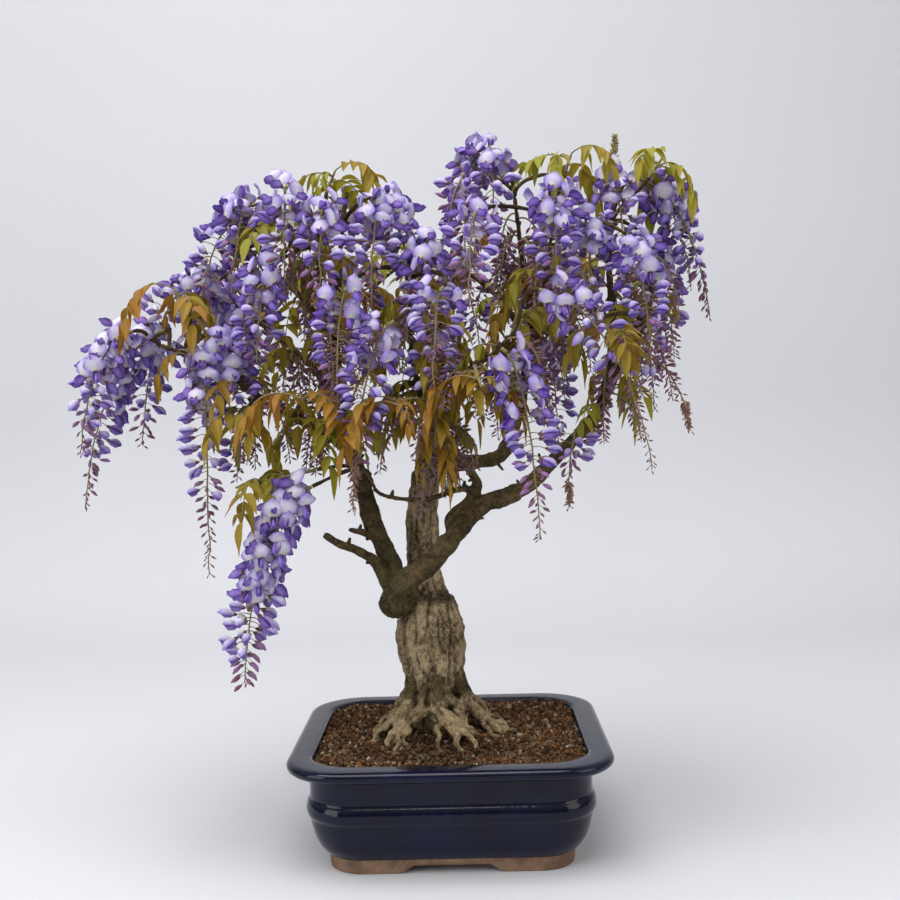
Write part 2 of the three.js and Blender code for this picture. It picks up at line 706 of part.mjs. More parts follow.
const spurs = SPURS.map(spurStem);
const shoots = SHOOTS.map(shootStem);
for (const owner of [...spurs, ...shoots]) place(owner.stem, owner);
shoots.forEach((owner, i) => {
  add(numbered("leafy_shoot", i), growOn(owner, leavesOf(owner.lines[0])), "leaf");
});
spurs.forEach((owner, i) => {
  add(numbered("racemes", i), growOn(owner, owner.lines.flatMap(floretsOf)), "petal");
});

const middle = new THREE.Box3().setFromObject(object).getCenter(new THREE.Vector3());
object.position.set(-middle.x, -middle.y, 0);

export default object;
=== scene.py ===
"""A wisteria bonsai in flower, in a glazed pot.

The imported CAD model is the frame. The plant is laid out in millimetres about the pot's centre at table
level, as the CAD part is, and place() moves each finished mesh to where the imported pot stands, in metres.
"""

import math
from itertools import combinations

import bpy
import numpy as np
from mathutils import Euler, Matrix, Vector, kdtree


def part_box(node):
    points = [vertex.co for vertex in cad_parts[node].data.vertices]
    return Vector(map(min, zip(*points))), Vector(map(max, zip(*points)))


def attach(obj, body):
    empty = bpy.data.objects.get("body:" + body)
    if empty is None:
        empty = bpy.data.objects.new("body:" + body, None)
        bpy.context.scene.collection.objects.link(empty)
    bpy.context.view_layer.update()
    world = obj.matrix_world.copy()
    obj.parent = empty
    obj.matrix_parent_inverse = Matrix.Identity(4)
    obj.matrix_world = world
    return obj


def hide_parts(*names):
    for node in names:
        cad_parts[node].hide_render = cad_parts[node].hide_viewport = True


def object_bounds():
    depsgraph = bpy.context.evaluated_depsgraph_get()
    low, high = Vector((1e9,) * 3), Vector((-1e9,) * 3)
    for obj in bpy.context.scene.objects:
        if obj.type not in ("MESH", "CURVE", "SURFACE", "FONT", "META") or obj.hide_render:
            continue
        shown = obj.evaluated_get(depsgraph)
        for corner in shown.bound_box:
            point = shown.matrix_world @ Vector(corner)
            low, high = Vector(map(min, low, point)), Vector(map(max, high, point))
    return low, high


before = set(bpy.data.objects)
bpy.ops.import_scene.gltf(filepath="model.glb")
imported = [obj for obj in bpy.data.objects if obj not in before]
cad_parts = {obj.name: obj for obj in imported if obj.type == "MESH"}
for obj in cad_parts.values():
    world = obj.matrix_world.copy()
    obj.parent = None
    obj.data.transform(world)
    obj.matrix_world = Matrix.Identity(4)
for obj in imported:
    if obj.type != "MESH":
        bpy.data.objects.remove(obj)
cad_low, cad_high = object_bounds()

# ---- driving dimensions, in millimetres ----------------------------------------------------------
MM = 0.001  # metres
POT = dict(
    width=328, depth=304, height=113, corner=60, rim=25, lip=12, floor=20, foot=15,
    foot_inset=39, foot_wall=12, arch=88, arch_rise=8, under=9, drain_radius=14, drain_x=55,
    drill=60, drill_middle=15,
)
SOIL_TOP, SOIL_MOUND = 106, 10
# The trunk's axis from the soil up, and its radius at even steps along it.
TRUNK_X = -14
TRUNK = [
    (-14, 0, 90), (-14, 0, 130), (-16, 0, 168), (-17, 0, 192), (-20, 0, 216), (-20, 0, 236), (-22, 2, 256),
    (-23, 4, 272), (-25, 8, 298), (-26, 12, 328), (-24, 16, 360), (-20, 22, 388),
]
GIRTH = [44, 38, 31, 31, 35, 36, 28, 20, 16.5, 17.5, 16, 15]
# Boughs: the points that each runs through, then its radius at the foot and at the tip.
BOUGHS = {
    "crown": ([(-20, 22, 385), (-13, 30, 420), (-4, 40, 452), (-7, 45, 513), (-23, 40, 580),
        (-30, 36, 632)], 14, 3),
    "right": ([(-57, -32, 264), (-43, -48, 280), (-21, -56, 296), (2, -55, 319), (18, -48, 338),
        (42, -38, 359), (63, -28, 364), (89, -15, 376), (111, 0, 394), (140, 12, 421), (165, 20, 445),
        (179, 25, 480), (188, 30, 541), (184, 20, 606), (186, 5, 650)], 12, 2.6),
    "left": ([(-57, -32, 264), (-56, -32, 289), (-66, -30, 317), (-77, -30, 344), (-84, -28, 373),
        (-97, -20, 418), (-109, -10, 465), (-114, 0, 525), (-110, 8, 590), (-104, 6, 650)], 11.5, 2.6),
    "low": ([(-61, -36, 272), (-72, -45, 300), (-92, -58, 316), (-109, -66, 324),
        (-122, -72, 334)], 7.5, 3.6),
    "stub": ([(-68, -30, 318), (-82, -40, 330), (-100, -48, 336)], 4.6, 2.6),
    "inner": ([(7, -50, 326), (7, -42, 345), (22, -36, 358), (35, -30, 375), (26, -40, 396),
        (12, -50, 414), (-2, -60, 437), (-17, -68, 463), (-26, -70, 498), (-30, -66, 549),
        (-30, -55, 610)], 7.5, 2.4),
    "cross": ([(34, -31, 374), (14, -36, 374), (-15, -36, 365), (-46, -38, 366), (-69, -44, 374),
        (-76, -52, 392)], 4.2, 2.6),
    "back": ([(-22, 16, 372), (-2, 24, 396), (33, 40, 399), (62, 55, 405), (80, 70, 439), (93, 80, 490),
        (101, 80, 558), (91, 62, 637), (84, 36, 690)], 10, 2.4),
    "arm": ([(-84, -28, 380), (-102, -38, 418), (-127, -46, 440), (-150, -50, 453), (-185, -50, 474),
        (-215, -44, 496), (-249, -34, 513), (-286, -22, 530), (-306, -14, 536)], 6.5, 2.2),
    "arm_back": ([(-108, -8, 465), (-150, 45, 515), (-196, 78, 552), (-232, 72, 580)], 5, 2.2),
    "shoulder": ([(-113, 2, 530), (-142, -8, 575), (-172, -12, 606), (-192, -12, 640)], 4.5, 2.2),
    "front": ([(-113, 0, 520), (-118, -35, 550), (-122, -55, 592), (-120, -60, 636)], 4.4, 2.2),
    "outer": ([(179, 25, 482), (205, -5, 520), (222, -18, 568), (222, -14, 628)], 4.4, 2.2),
    "rear_right": ([(165, 20, 447), (190, 62, 480), (208, 84, 520), (212, 92, 566)], 4.6, 2.2),
    "rear": ([(98, 80, 530), (72, 110, 580), (40, 128, 612), (18, 132, 632)], 4.6, 2.2),
    "rear_left": ([(-6, 44, 505), (-45, 85, 548), (-85, 115, 590), (-108, 124, 622)], 5, 2.2),
    "centre": ([(92, 80, 487), (106, 30, 540), (112, -15, 590), (118, -40, 640)], 4.6, 2.2),
    "apron": ([(-18, -68, 465), (12, -78, 490), (44, -86, 505), (72, -88, 530)], 4, 2.2),
}
# Flower spurs: where the twig ends, then the tip of each raceme that hangs from it.
SPURS = [
    ((-318, -44, 547), [(-372, -60, 420)]),
    ((-292, -12, 550), [(-384, -14, 362)]),
    ((-300, 28, 552), [(-338, 50, 425)]),
    ((-240, -64, 537), [(-241, -68, 292), (-200, -50, 425)]),
    ((-238, 22, 607), [(-330, 30, 535), (-262, 62, 480)]),
    ((-190, -24, 678), [(-250, -16, 580), (-206, -72, 590)]),
    ((-150, -66, 688), [(-152, -92, 580)]),
    ((-112, -80, 668), [(-115, -110, 540)]),
    ((-56, -56, 672), [(-66, -104, 557), (-26, -70, 550)]),
    ((-86, -112, 580), [(-100, -120, 462)]),
    ((-165, -72, 608), [(-182, -86, 507)]),
    ((-214, 0, 570), [(-220, 0, 478)]),
    ((-42, -116, 545), [(-88, -114, 357)]),
    ((-10, -84, 530), [(-6, -96, 420)]),
    ((-8, -64, 634), [(-15, -96, 517)]),
    ((60, -20, 728), [(10, -50, 637), (58, -56, 640)]),
    ((42, -84, 655), [(30, -124, 556)]),
    ((115, -74, 680), [(118, -90, 558)]),
    ((150, -48, 655), [(156, -62, 525)]),
    ((178, -26, 698), [(192, -54, 566), (186, -30, 748)]),
    ((216, 0, 697), [(285, -12, 546), (276, 36, 583)]),
    ((190, -72, 628), [(210, -84, 500)]),
    ((226, 30, 640), [(250, 46, 507)]),
    ((98, -108, 572), [(207, -100, 390)]),
    ((208, -24, 510), [(258, -34, 428)]),
    ((60, -116, 516), [(94, -116, 327)]),
    ((146, 0, 436), [(132, -6, 350)]),
    ((-131, -86, 384), [(-203, -98, 188)]),
    ((6, -112, 577), [(-6, -120, 477)]),
    ((-235, 90, 606), [(-288, 112, 468), (-215, 128, 470)]),
    ((-112, 142, 642), [(-156, 172, 500), (-86, 182, 508)]),
    ((12, 158, 646), [(-24, 188, 508), (46, 196, 505)]),
    ((130, 136, 642), [(106, 184, 510), (178, 160, 498)]),
    ((222, 112, 580), [(250, 140, 450)]),
    ((34, 62, 716), [(28, 104, 606)]),
    ((-104, 62, 700), [(-116, 104, 588)]),
    ((134, 60, 712), [(150, 100, 600)]),
    ((0, 112, 548), [(4, 136, 425)]),
    ((116, 106, 540), [(134, 132, 415)]),
]
# Leafy shoots: where the twig ends, and the shoot's own tip.
SHOOTS = [
    ((-118, 2, 694), (-108, 0, 716)), ((-156, -24, 640), (-168, -46, 658)),
    ((222, -24, 694), (236, -30, 714)),
    ((134, -20, 700), (142, -24, 722)), ((-262, -36, 566), (-274, -44, 590)),
    ((-136, -84, 472), (-138, -112, 472)), ((-46, -96, 470), (-40, -124, 462)),
    ((34, -104, 500), (40, -128, 478)), ((-128, -70, 400), (-210, -78, 384)),
    ((-196, -60, 466), (-214, -70, 450)), ((166, -60, 540), (176, -84, 524)),
    ((-180, 108, 600), (-188, 132, 618)), ((-40, 120, 640), (-42, 150, 664)),
    ((180, 118, 620), (190, 140, 640)),
]
SPURS = [(np.array(at, float), [np.array(tip, float) for tip in tips]) for at, tips in SPURS]
SHOOTS = [(np.array(at, float), np.array(tip, float)) for at, tip in SHOOTS]
# Surface roots: heading in degrees from +X, reach from the trunk's axis, and a radius, of which a root
# keeps 0.62 at the trunk and 0.34 at its end.
ROOTS = [
    (-165, 88, 9), (-140, 96, 9), (-112, 84, 8), (-88, 98, 9.5), (-66, 70, 7), (-40, 92, 9), (-12, 86, 8.5),
    (22, 78, 8), (58, 82, 8.5), (96, 80, 8), (132, 84, 8.5), (172, 76, 7.5),
]
# Roots that cross over the others round the foot of the trunk: headings and heights at both ends.
CROSSING_ROOTS = [(-60, -150, 156, 124), (-125, -45, 146, 118), (-80, 10, 158, 122), (40, 130, 154, 120)]
STEM_GAP = 0.6  # how far a spur or a shoot stands off its twig's end
FORK = 6  # from the twig's end to where a spur's racemes part
TWIG_BACK, TWIG_END = 22, 1.9  # how far behind its end a twig seeks its bough, and its radius there
VOXEL = 1.95  # the step at which trunk, roots and boughs are joined to one skin
GRANULES = 6200  # how many lie on the soil
GOLDEN = math.pi * (3 - math.sqrt(5))
TAU = 2 * math.pi
rng = np.random.default_rng(11)

# The camera stands before the tree, in millimetres from the pot's centre. Its turns are in degrees, its
# sensor is SENSOR wide, and its focal length is 1142 pixels of a picture that is 900 pixels wide.
SENSOR = 36
CAMERA = dict(at=(23.5, -1226, 453), down=1.81, left=0.79, roll=-1.48, focal=1142 / 900 * SENSOR)

pot_low, pot_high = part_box("pot")
POT_CENTRE = np.array([(pot_low.x + pot_high.x) / 2, (pot_low.y + pot_high.y) / 2, pot_low.z])


# ---- numbers -------------------------------------------------------------------------------------
def unit(v):
    v = np.asarray(v, float)
    return v / np.maximum(np.linalg.norm(v, axis=-1, keepdims=True), 1e-9)


def mix(a, b, t):
    return a + (b - a) * t


def smooth(low, high, x):
    t = np.clip((x - low) / (high - low), 0, 1)
    return t * t * (3 - 2 * t)


# Large odd numbers that scramble a cell's place into a word of 32 bits.
HASH, WORD = np.array([374761393, 668265263, 2147483629]), 0xFFFFFFFF


def noise3(points, seed=0):
    """Gradient noise of about -1 to 1 at each point."""
    cell = np.floor(points).astype(np.int64)
    part = points - cell
    fade = part * part * part * (part * (part * 6 - 15) + 10)
    total = np.zeros(len(points))
    for corner in np.ndindex(2, 2, 2):
        c = cell + corner
        mixed = (c @ HASH + seed * 97531) & WORD
        mixed = ((mixed ^ (mixed >> 13)) * 1274126177) & WORD
        mixed ^= mixed >> 16
        slope = np.stack([(mixed >> k) & 255 for k in (0, 8, 16)], -1) / 127.5 - 1
        weight = np.prod(np.where(corner, fade, 1 - fade), -1)
        total += weight * np.sum(slope * (part - corner), -1)
    return total * 1.4


def catmull(points, count):
    """A centripetal Catmull-Rom curve through the points, at even steps of its length."""
    p = np.array(points, float)
    p = np.vstack([2 * p[0] - p[1], p, 2 * p[-1] - p[-2]])
    out = []
    for a, b, c, d in zip(p, p[1:], p[2:], p[3:]):
        ab, bc, cd = (np.sqrt(np.linalg.norm(v)) for v in (b - a, c - b, d - c))
        first = ((b - a) / ab - (c - a) / (ab + bc) + (c - b) / bc) * bc
        second = ((c - b) / bc - (d - b) / (bc + cd) + (d - c) / cd) * bc
        t = np.linspace(0, 1, 24, endpoint=False)[:, None]
        out.append(
            (2 * t**3 - 3 * t**2 + 1) * b + (t**3 - 2 * t**2 + t) * first
            + (3 * t**2 - 2 * t**3) * c + (t**3 - t**2) * second
        )
    return even(np.vstack(out + [p[-2:-1]]), count)


def bezier(a, b, c, d, count):
    t = np.linspace(0, 1, 60)[:, None]
    a, b, c, d = (np.asarray(v, float) for v in (a, b, c, d))
    return even((1 - t) ** 3 * a + 3 * (1 - t) ** 2 * t * b + 3 * (1 - t) * t**2 * c + t**3 * d, count)


def lengths(path):
    return np.concatenate([[0], np.cumsum(np.linalg.norm(np.diff(path, axis=0), axis=1))])


def even(path, count):
    along = lengths(path)
    at = np.linspace(0, along[-1], count)
    return np.stack([np.interp(at, along, path[:, k]) for k in range(3)], -1)


def part_way(path, share):
    """The number of the point at a share of the path."""
    return int(share * (len(path) - 1))


def frames(path):
    """Along, side and over directions at each point of a path, with no twist."""
    along = unit(np.gradient(path, axis=0))
    side = np.zeros_like(along)
    start = np.cross(along[0], (0, 0, 1) if abs(along[0][2]) < 0.9 else (0, 1, 0))
    side[0] = unit(start)
    for k in range(1, len(path)):
        flat = side[k - 1] - along[k] * np.dot(side[k - 1], along[k])
        side[k] = unit(flat)
    return along, side, np.cross(along, side)


def round_about(side, over, angle):
    """The direction at an angle round a path."""
    return side * math.cos(angle) + over * math.sin(angle)


def search_tree(points, first=0):
    """A tree that finds the nearest of the points, which are numbered from first."""
    tree = kdtree.KDTree(len(points))
    for k, point in enumerate(points, first):
        tree.insert(point, k)
    tree.balance()
    return tree


BOX_LOW = np.array(cad_low) / MM - POT_CENTRE / MM
BOX_HIGH = np.array(cad_high) / MM - POT_CENTRE / MM


def inside(point, margin=4):
    """Whether a point lies inside the CAD model's box."""
    return bool(np.all(point > BOX_LOW + margin) and np.all(point < BOX_HIGH - margin))


# ---- meshes --------------------------------------------------------------------------------------
class Parts:
    """Vertices and faces of one piece, gathered from many small parts. Millimetres."""

    def __init__(self):
        self.points, self.faces, self.slots, self.marks = [], [], [], []
        self.count = 0

    def add(self, points, faces, slot=0, marks=None):
        """faces is an array of triangles or of quads, or a list of such, which slot may give one each.
        marks holds three numbers a point."""
        points = np.asarray(points, float)
        marks = np.zeros((len(points), 3)) if marks is None else np.broadcast_to(marks, (len(points), 3))
        self.points.append(points)
        self.marks.append(marks)
        faces = faces if isinstance(faces, list) else [faces]
        for some, own in zip(faces, slot if isinstance(slot, list) else [slot] * len(faces)):
            self.faces.append(some + self.count)
            self.slots.append(np.full(len(some), own))
        self.count += len(points)


def link(name, data):
    made = bpy.data.objects.new(name, data)
    bpy.context.scene.collection.objects.link(made)
    return made


def keep(mesh, name, values):
    """Stores a vector for each point of the mesh, under the name by which a material reads it."""
    old = mesh.attributes.get(name)
    if old:
        mesh.attributes.remove(old)
    layer = mesh.attributes.new(name, "FLOAT_VECTOR", "POINT")
    layer.data.foreach_set("vector", values.ravel().astype(np.float32))


def place(name, parts, materials, replaces=(), shade=True):
    """Makes one piece of the gathered parts, which rides on the root body. Points that lie outside the
    CAD model's box are brought back to it."""
    mesh = bpy.data.meshes.new(name)
    points = np.clip(np.vstack(parts.points), BOX_LOW, BOX_HIGH) * MM + POT_CENTRE
    sizes = np.concatenate([np.full(len(f), f.shape[1]) for f in parts.faces])
    loops = np.concatenate([f.reshape(-1) for f in parts.faces])
    mesh.vertices.add(len(points))
    mesh.vertices.foreach_set("co", points.ravel().astype(np.float32))
    mesh.loops.add(len(loops))
    mesh.loops.foreach_set("vertex_index", loops.astype(np.int32))
    mesh.polygons.add(len(sizes))
    starts = np.concatenate([[0], np.cumsum(sizes)[:-1]])
    mesh.polygons.foreach_set("loop_start", starts.astype(np.int32))
    mesh.polygons.foreach_set("material_index", np.concatenate(parts.slots).astype(np.int32))
    mesh.polygons.foreach_set("use_smooth", np.full(len(sizes), shade))
    keep(mesh, "mark", np.vstack(parts.marks))
    mesh.update(calc_edges=True)
    mesh.validate()
    for material in materials:
        mesh.materials.append(material)
    made = link(name, mesh)
    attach(made, "root")
    if replaces:
        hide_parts(*replaces)
    return made


def grid(rows, columns, closed=False):
    """Quads of a grid of points, row by row. closed joins the last column to the first."""
    r, c = np.meshgrid(np.arange(rows - 1), np.arange(columns if closed else columns - 1), indexing="ij")
    a = r * columns + c
    b = r * columns + (c + 1) % columns
    return np.stack([a, b, b + columns, a + columns], -1).reshape(-1, 4)


def tube(path, radii, sides):
    """A closed tube along a path: its rings of points, then one point at each end."""
    _, side, over = frames(path)
    angle = np.linspace(0, TAU, sides, endpoint=False)
    ring = side[:, None] * np.cos(angle)[None, :, None] + over[:, None] * np.sin(angle)[None, :, None]
    points = path[:, None] + ring * np.broadcast_to(radii, len(path))[:, None, None]
    first, last = len(path) * sides, len(path) * sides + 1
    here = np.arange(sides)
    after = np.roll(here, -1)
    far = (len(path) - 1) * sides
    ends = np.vstack([np.stack([np.full(sides, first), after, here], -1),
                      np.stack([np.full(sides, last), here + far, after + far], -1)])
    points = np.vstack([points.reshape(-1, 3), path[0], path[-1]])
    return points, [grid(len(path), sides, closed=True), ends]


def per_ring(values, sides):
    """A value for each ring of a tube, given to each of its points and to its two end points."""
    values = np.asarray(values, float)
    return np.concatenate([np.repeat(values, sides, 0), values[:1], values[-1:]])


# ---- materials -----------------------------------------------------------------------------------
class Nodes:
    """A node material, built by short calls."""

    def __init__(self, name):
        self.material = bpy.data.materials.new(name)
        self.material.use_nodes = True
        self.tree = self.material.node_tree
        self.shader = self.tree.nodes["Principled BSDF"]
        self.output = self.tree.nodes["Material Output"]

    def make(self, kind, **inputs):
        node = self.tree.nodes.new(kind)
        self.feed(node, inputs)
        return node

    def feed(self, node, inputs):
        for key, value in inputs.items():
            socket = node.inputs[int(key[1:]) if key[1:].isdigit() else key.replace("_", " ")]
            if isinstance(value, bpy.types.NodeSocket):
                self.tree.links.new(value, socket)
            else:
                socket.default_value = value

    def mark(self, name="mark"):
        node = self.tree.nodes.new("ShaderNodeAttribute")
        node.attribute_name = name
        return node.outputs["Vector"]

    def split(self, vector):
        node = self.make("ShaderNodeSeparateXYZ", _0=vector)
        return node.outputs[0], node.outputs[1], node.outputs[2]

    def join(self, x, y, z):
        return self.make("ShaderNodeCombineXYZ", _0=x, _1=y, _2=z).outputs[0]

    def math(self, operation, a, b=0.0, clamp=False):
        node = self.tree.nodes.new("ShaderNodeMath")
        node.operation = operation
        node.use_clamp = clamp
        self.feed(node, {"_0": a, "_1": b})
        return node.outputs[0]

    def times(self, a, b):
        return self.math("MULTIPLY", a, b)

    def plus(self, a, b, clamp=False):
        return self.math("ADD", a, b, clamp)

    def span(self, value, low, high, to_low=0.0, to_high=1.0):
        node = self.make("ShaderNodeMapRange", _0=value, _1=low, _2=high, _3=to_low, _4=to_high)
        node.interpolation_type = "SMOOTHSTEP"
        return node.outputs[0]

    def noise(self, vector, scale, detail=4.0, rough=0.55):
        node = self.make("ShaderNodeTexNoise", Vector=vector, Scale=scale, Detail=detail, Roughness=rough)
        return node.outputs["Fac"]

    def colour(self, factor, first, second):
        node = self.tree.nodes.new("ShaderNodeMix")
        node.data_type = "RGBA"
        first, second = (c if isinstance(c, bpy.types.NodeSocket) else (*c, 1) for c in (first, second))
        self.feed(node, {"_0": factor, "_6": first, "_7": second})
        return node.outputs[2]

    def place(self):
        return self.tree.nodes.new("ShaderNodeTexCoord").outputs["Object"]

    def bump(self, height, strength, distance):
        return self.make("ShaderNodeBump", Strength=strength, Distance=distance, Height=height).outputs[0]

    def finish(self, **inputs):
        self.feed(self.shader, inputs)
        return self.material

    def glow(self, colour, share):
        """Lets light through: a share of the surface is a thin translucent sheet."""
        sheet = self.make("ShaderNodeBsdfTranslucent", Color=colour)
        both = self.make("ShaderNodeMixShader", _0=share, _1=self.shader.outputs[0], _2=sheet.outputs[0])
        self.tree.links.new(both.outputs[0], self.output.inputs["Surface"])
        return self.material


def set_stops(ramp, stops):
    """Gives a new colour ramp its stops. It has two at first."""
    elements = ramp.color_ramp.elements
    for k, (at, colour) in enumerate(stops):
        stop = elements[k] if k < 2 else elements.new(at)
        stop.position, stop.color = at, (*colour, 1)


def glaze():
    """mark.x is 1 along the edges, where the glaze runs thin."""
    n = Nodes("glaze")
    edge = n.split(n.mark())[0]
    where = n.place()
    cloud = n.noise(where, 18.0, 3.0)
    base = n.colour(n.span(cloud, 0.35, 0.7), (0.0012, 0.002, 0.011), (0.003, 0.005, 0.024))
    base = n.colour(n.times(edge, 0.5), base, (0.02, 0.03, 0.07))
    peel = n.noise(where, 160.0, 2.0)
    rough = n.span(n.noise(where, 45.0, 4.0), 0.3, 0.8, 0.07, 0.17)
    return n.finish(Base_Color=base, Roughness=rough, IOR=1.34, Normal=n.bump(peel, 0.12, 0.002))


def clay():
    n = Nodes("bare_clay")
    where = n.place()
    cloud = n.noise(where, 40.0, 6.0, 0.65)
    grit = n.noise(where, 700.0, 2.0)
    base = n.colour(n.span(cloud, 0.3, 0.7), (0.13, 0.07, 0.04), (0.27, 0.165, 0.1))
    base = n.colour(n.span(grit, 0.62, 0.75), base, (0.36, 0.26, 0.18))
    return n.finish(Base_Color=base, Roughness=0.85, Normal=n.bump(grit, 0.5, 0.0008))


def grain():
    """Each granule has its own colour by mark.x, and by mark.y its own brightness times painted shade in
    front of the roots.
    """
    n = Nodes("granules")
    kind, brightness_and_shade, _ = n.split(n.mark())
    where = n.place()
    ramp = n.make("ShaderNodeValToRGB", _0=kind)
    ramp.color_ramp.interpolation = "CONSTANT"
    set_stops(ramp, [
        (0.0, (0.09, 0.036, 0.012)), (0.26, (0.16, 0.068, 0.024)), (0.46, (0.045, 0.022, 0.01)),
        (0.66, (0.21, 0.11, 0.045)), (0.8, (0.1, 0.066, 0.04)), (0.89, (0.25, 0.19, 0.12)),
        (0.97, (0.38, 0.33, 0.26)),
    ])
    pores = n.noise(where, 900.0, 3.0, 0.7)
    dark = n.times(brightness_and_shade, n.span(pores, 0.25, 0.75, 0.55, 1.25))
    base = n.make("ShaderNodeMix", _0=1.0)
    base.data_type, base.blend_type = "RGBA", "MULTIPLY"
    n.feed(base, {"_6": ramp.outputs[0], "_7": n.join(dark, dark, dark)})
    return n.finish(Base_Color=base.outputs[2], Roughness=0.95, Specular_IOR_Level=0.2,
                    Normal=n.bump(pores, 0.6, 0.0006))


def earth():
    n = Nodes("earth")
    where = n.place()
    lumps = n.make("ShaderNodeTexVoronoi", Vector=where, Scale=260.0)
    base = n.colour(lumps.outputs["Distance"], (0.03, 0.017, 0.01), (0.13, 0.062, 0.03))
    return n.finish(Base_Color=base, Roughness=1.0, Normal=n.bump(lumps.outputs["Distance"], 0.8, 0.002))


def net():
    n = Nodes("net_plastic")
    fine = n.noise(n.place(), 500.0, 2.0)
    base = n.colour(fine, (0.012, 0.012, 0.013), (0.028, 0.028, 0.03))
    return n.finish(Base_Color=base, Roughness=n.span(fine, 0.2, 0.8, 0.45, 0.65),
                    Normal=n.bump(fine, 0.2, 0.0004))


def bark():
    """mark holds the depth of the fissures, the wood's age from a young bough (0) over the trunk (0.5) to
    a bared root (1), and how mossy it is."""
    n = Nodes("bark")
    fissure, age, moss = n.split(n.mark())
    grainwise = n.mark("limb")
    where = n.place()
    fine = n.noise(grainwise, 3.2, 9.0, 0.7)
    patch = n.plus(n.times(n.noise(where, 34.0, 5.0, 0.6), 0.45),
                   n.times(n.noise(where, 190.0, 6.0, 0.75), 0.55))
    speck = n.noise(where, 420.0, 4.0, 0.7)

    def wood(patches, dark, light, specks, pale):
        base = n.colour(n.span(patch, *patches), dark, light)
        return n.colour(n.span(speck, *specks), base, pale)

    young = wood((0.4, 0.62), (0.032, 0.022, 0.008), (0.145, 0.1, 0.043), (0.6, 0.72), (0.24, 0.185, 0.1))
    old = wood((0.4, 0.6), (0.085, 0.056, 0.024), (0.44, 0.335, 0.19), (0.56, 0.7), (0.6, 0.51, 0.35))
    bare = wood((0.38, 0.6), (0.11, 0.068, 0.028), (0.4, 0.3, 0.165), (0.56, 0.7), (0.54, 0.45, 0.3))
    base = n.colour(n.span(age, 0.0, 0.5), young, old)
    base = n.colour(n.span(age, 0.5, 1.0), base, bare)
    mossy = n.times(moss, n.span(n.noise(where, 75.0, 6.0, 0.65), 0.4, 0.62, 0.0, 0.75))
    base = n.colour(mossy, base, n.colour(speck, (0.05, 0.052, 0.014), (0.15, 0.14, 0.05)))
    ragged = n.plus(fissure, n.times(n.math("SUBTRACT", fine, 0.5), 1.5))
    crack = n.span(ragged, 0.2, 1.15)
    base = n.colour(n.times(crack, 0.85), base, (0.022, 0.014, 0.007))
    rise = n.plus(n.math("SUBTRACT", fine, n.times(crack, 0.5)), n.times(speck, 0.4))
    return n.finish(Base_Color=base, Roughness=0.93, Specular_IOR_Level=0.25,
                    Normal=n.bump(rise, 1.0, 0.003))


def petal(name, pale, deep, edge_tint, eye=None, share=0.3):
    """mark holds the place across the petal, the place up it, and the flower's own tint."""
    n = Nodes(name)
    across, up, tint = n.split(n.mark())
    away = n.math("ABSOLUTE", across)
    stripes = n.math("SINE", n.times(across, 34.0))
    veins = n.times(n.span(stripes, 0.3, 1.0), n.span(up, 0.95, 0.1, 0.0, 0.45))
    blush = n.plus(n.times(away, 0.5), n.times(tint, 0.7), clamp=True)
    base = n.colour(blush, pale, deep)
    base = n.colour(n.times(veins, 0.55), base, deep)
    base = n.colour(n.span(n.math("MAXIMUM", away, up), 0.55, 1.0, 0.0, 0.75), base, edge_tint)
    if eye:
        near = n.times(n.span(up, 0.4, 0.12), n.span(away, 0.5, 0.15))
        base = n.colour(near, base, eye)
    folds = n.noise(n.join(n.times(across, 6.0), up, tint), 3.0, 3.0)
    n.finish(Base_Color=base, Roughness=0.6, Specular_IOR_Level=0.3, Normal=n.bump(folds, 0.35, 0.0012))
    return n.glow(base, share)


def bud_skin():
    """Buds go from mauve to a dark wine red towards the raceme's tip, by mark.z."""
    n = Nodes("bud")
    _, up, tint = n.split(n.mark())
    base = n.colour(tint, (0.27, 0.13, 0.34), (0.15, 0.042, 0.055))
    base = n.colour(n.span(up, 0.5, 0.0), base, (0.18, 0.08, 0.05))
    fuzz = n.noise(n.place(), 800.0, 2.0)
    return n.finish(Base_Color=base, Roughness=0.65, Sheen_Weight=0.15, Normal=n.bump(fuzz, 0.25, 0.0005))


def stem_skin():
    n = Nodes("flower_stem")
    tint = n.split(n.mark())[2]
    base = n.colour(tint, (0.19, 0.19, 0.05), (0.25, 0.115, 0.085))
    fuzz = n.noise(n.place(), 900.0, 2.0)
    base = n.colour(n.span(fuzz, 0.5, 0.8, 0.0, 0.45), base, (0.33, 0.27, 0.16))
    return n.finish(Base_Color=base, Roughness=0.75, Sheen_Weight=0.2, Normal=n.bump(fuzz, 0.3, 0.0005))


def calyx_skin():
    n = Nodes("calyx")
    fuzz = n.noise(n.place(), 900.0, 2.0)
    base = n.colour(fuzz, (0.075, 0.024, 0.035), (0.19, 0.085, 0.095))
    return n.finish(Base_Color=base, Roughness=0.65, Sheen_Weight=0.2, Normal=n.bump(fuzz, 0.3, 0.0005))


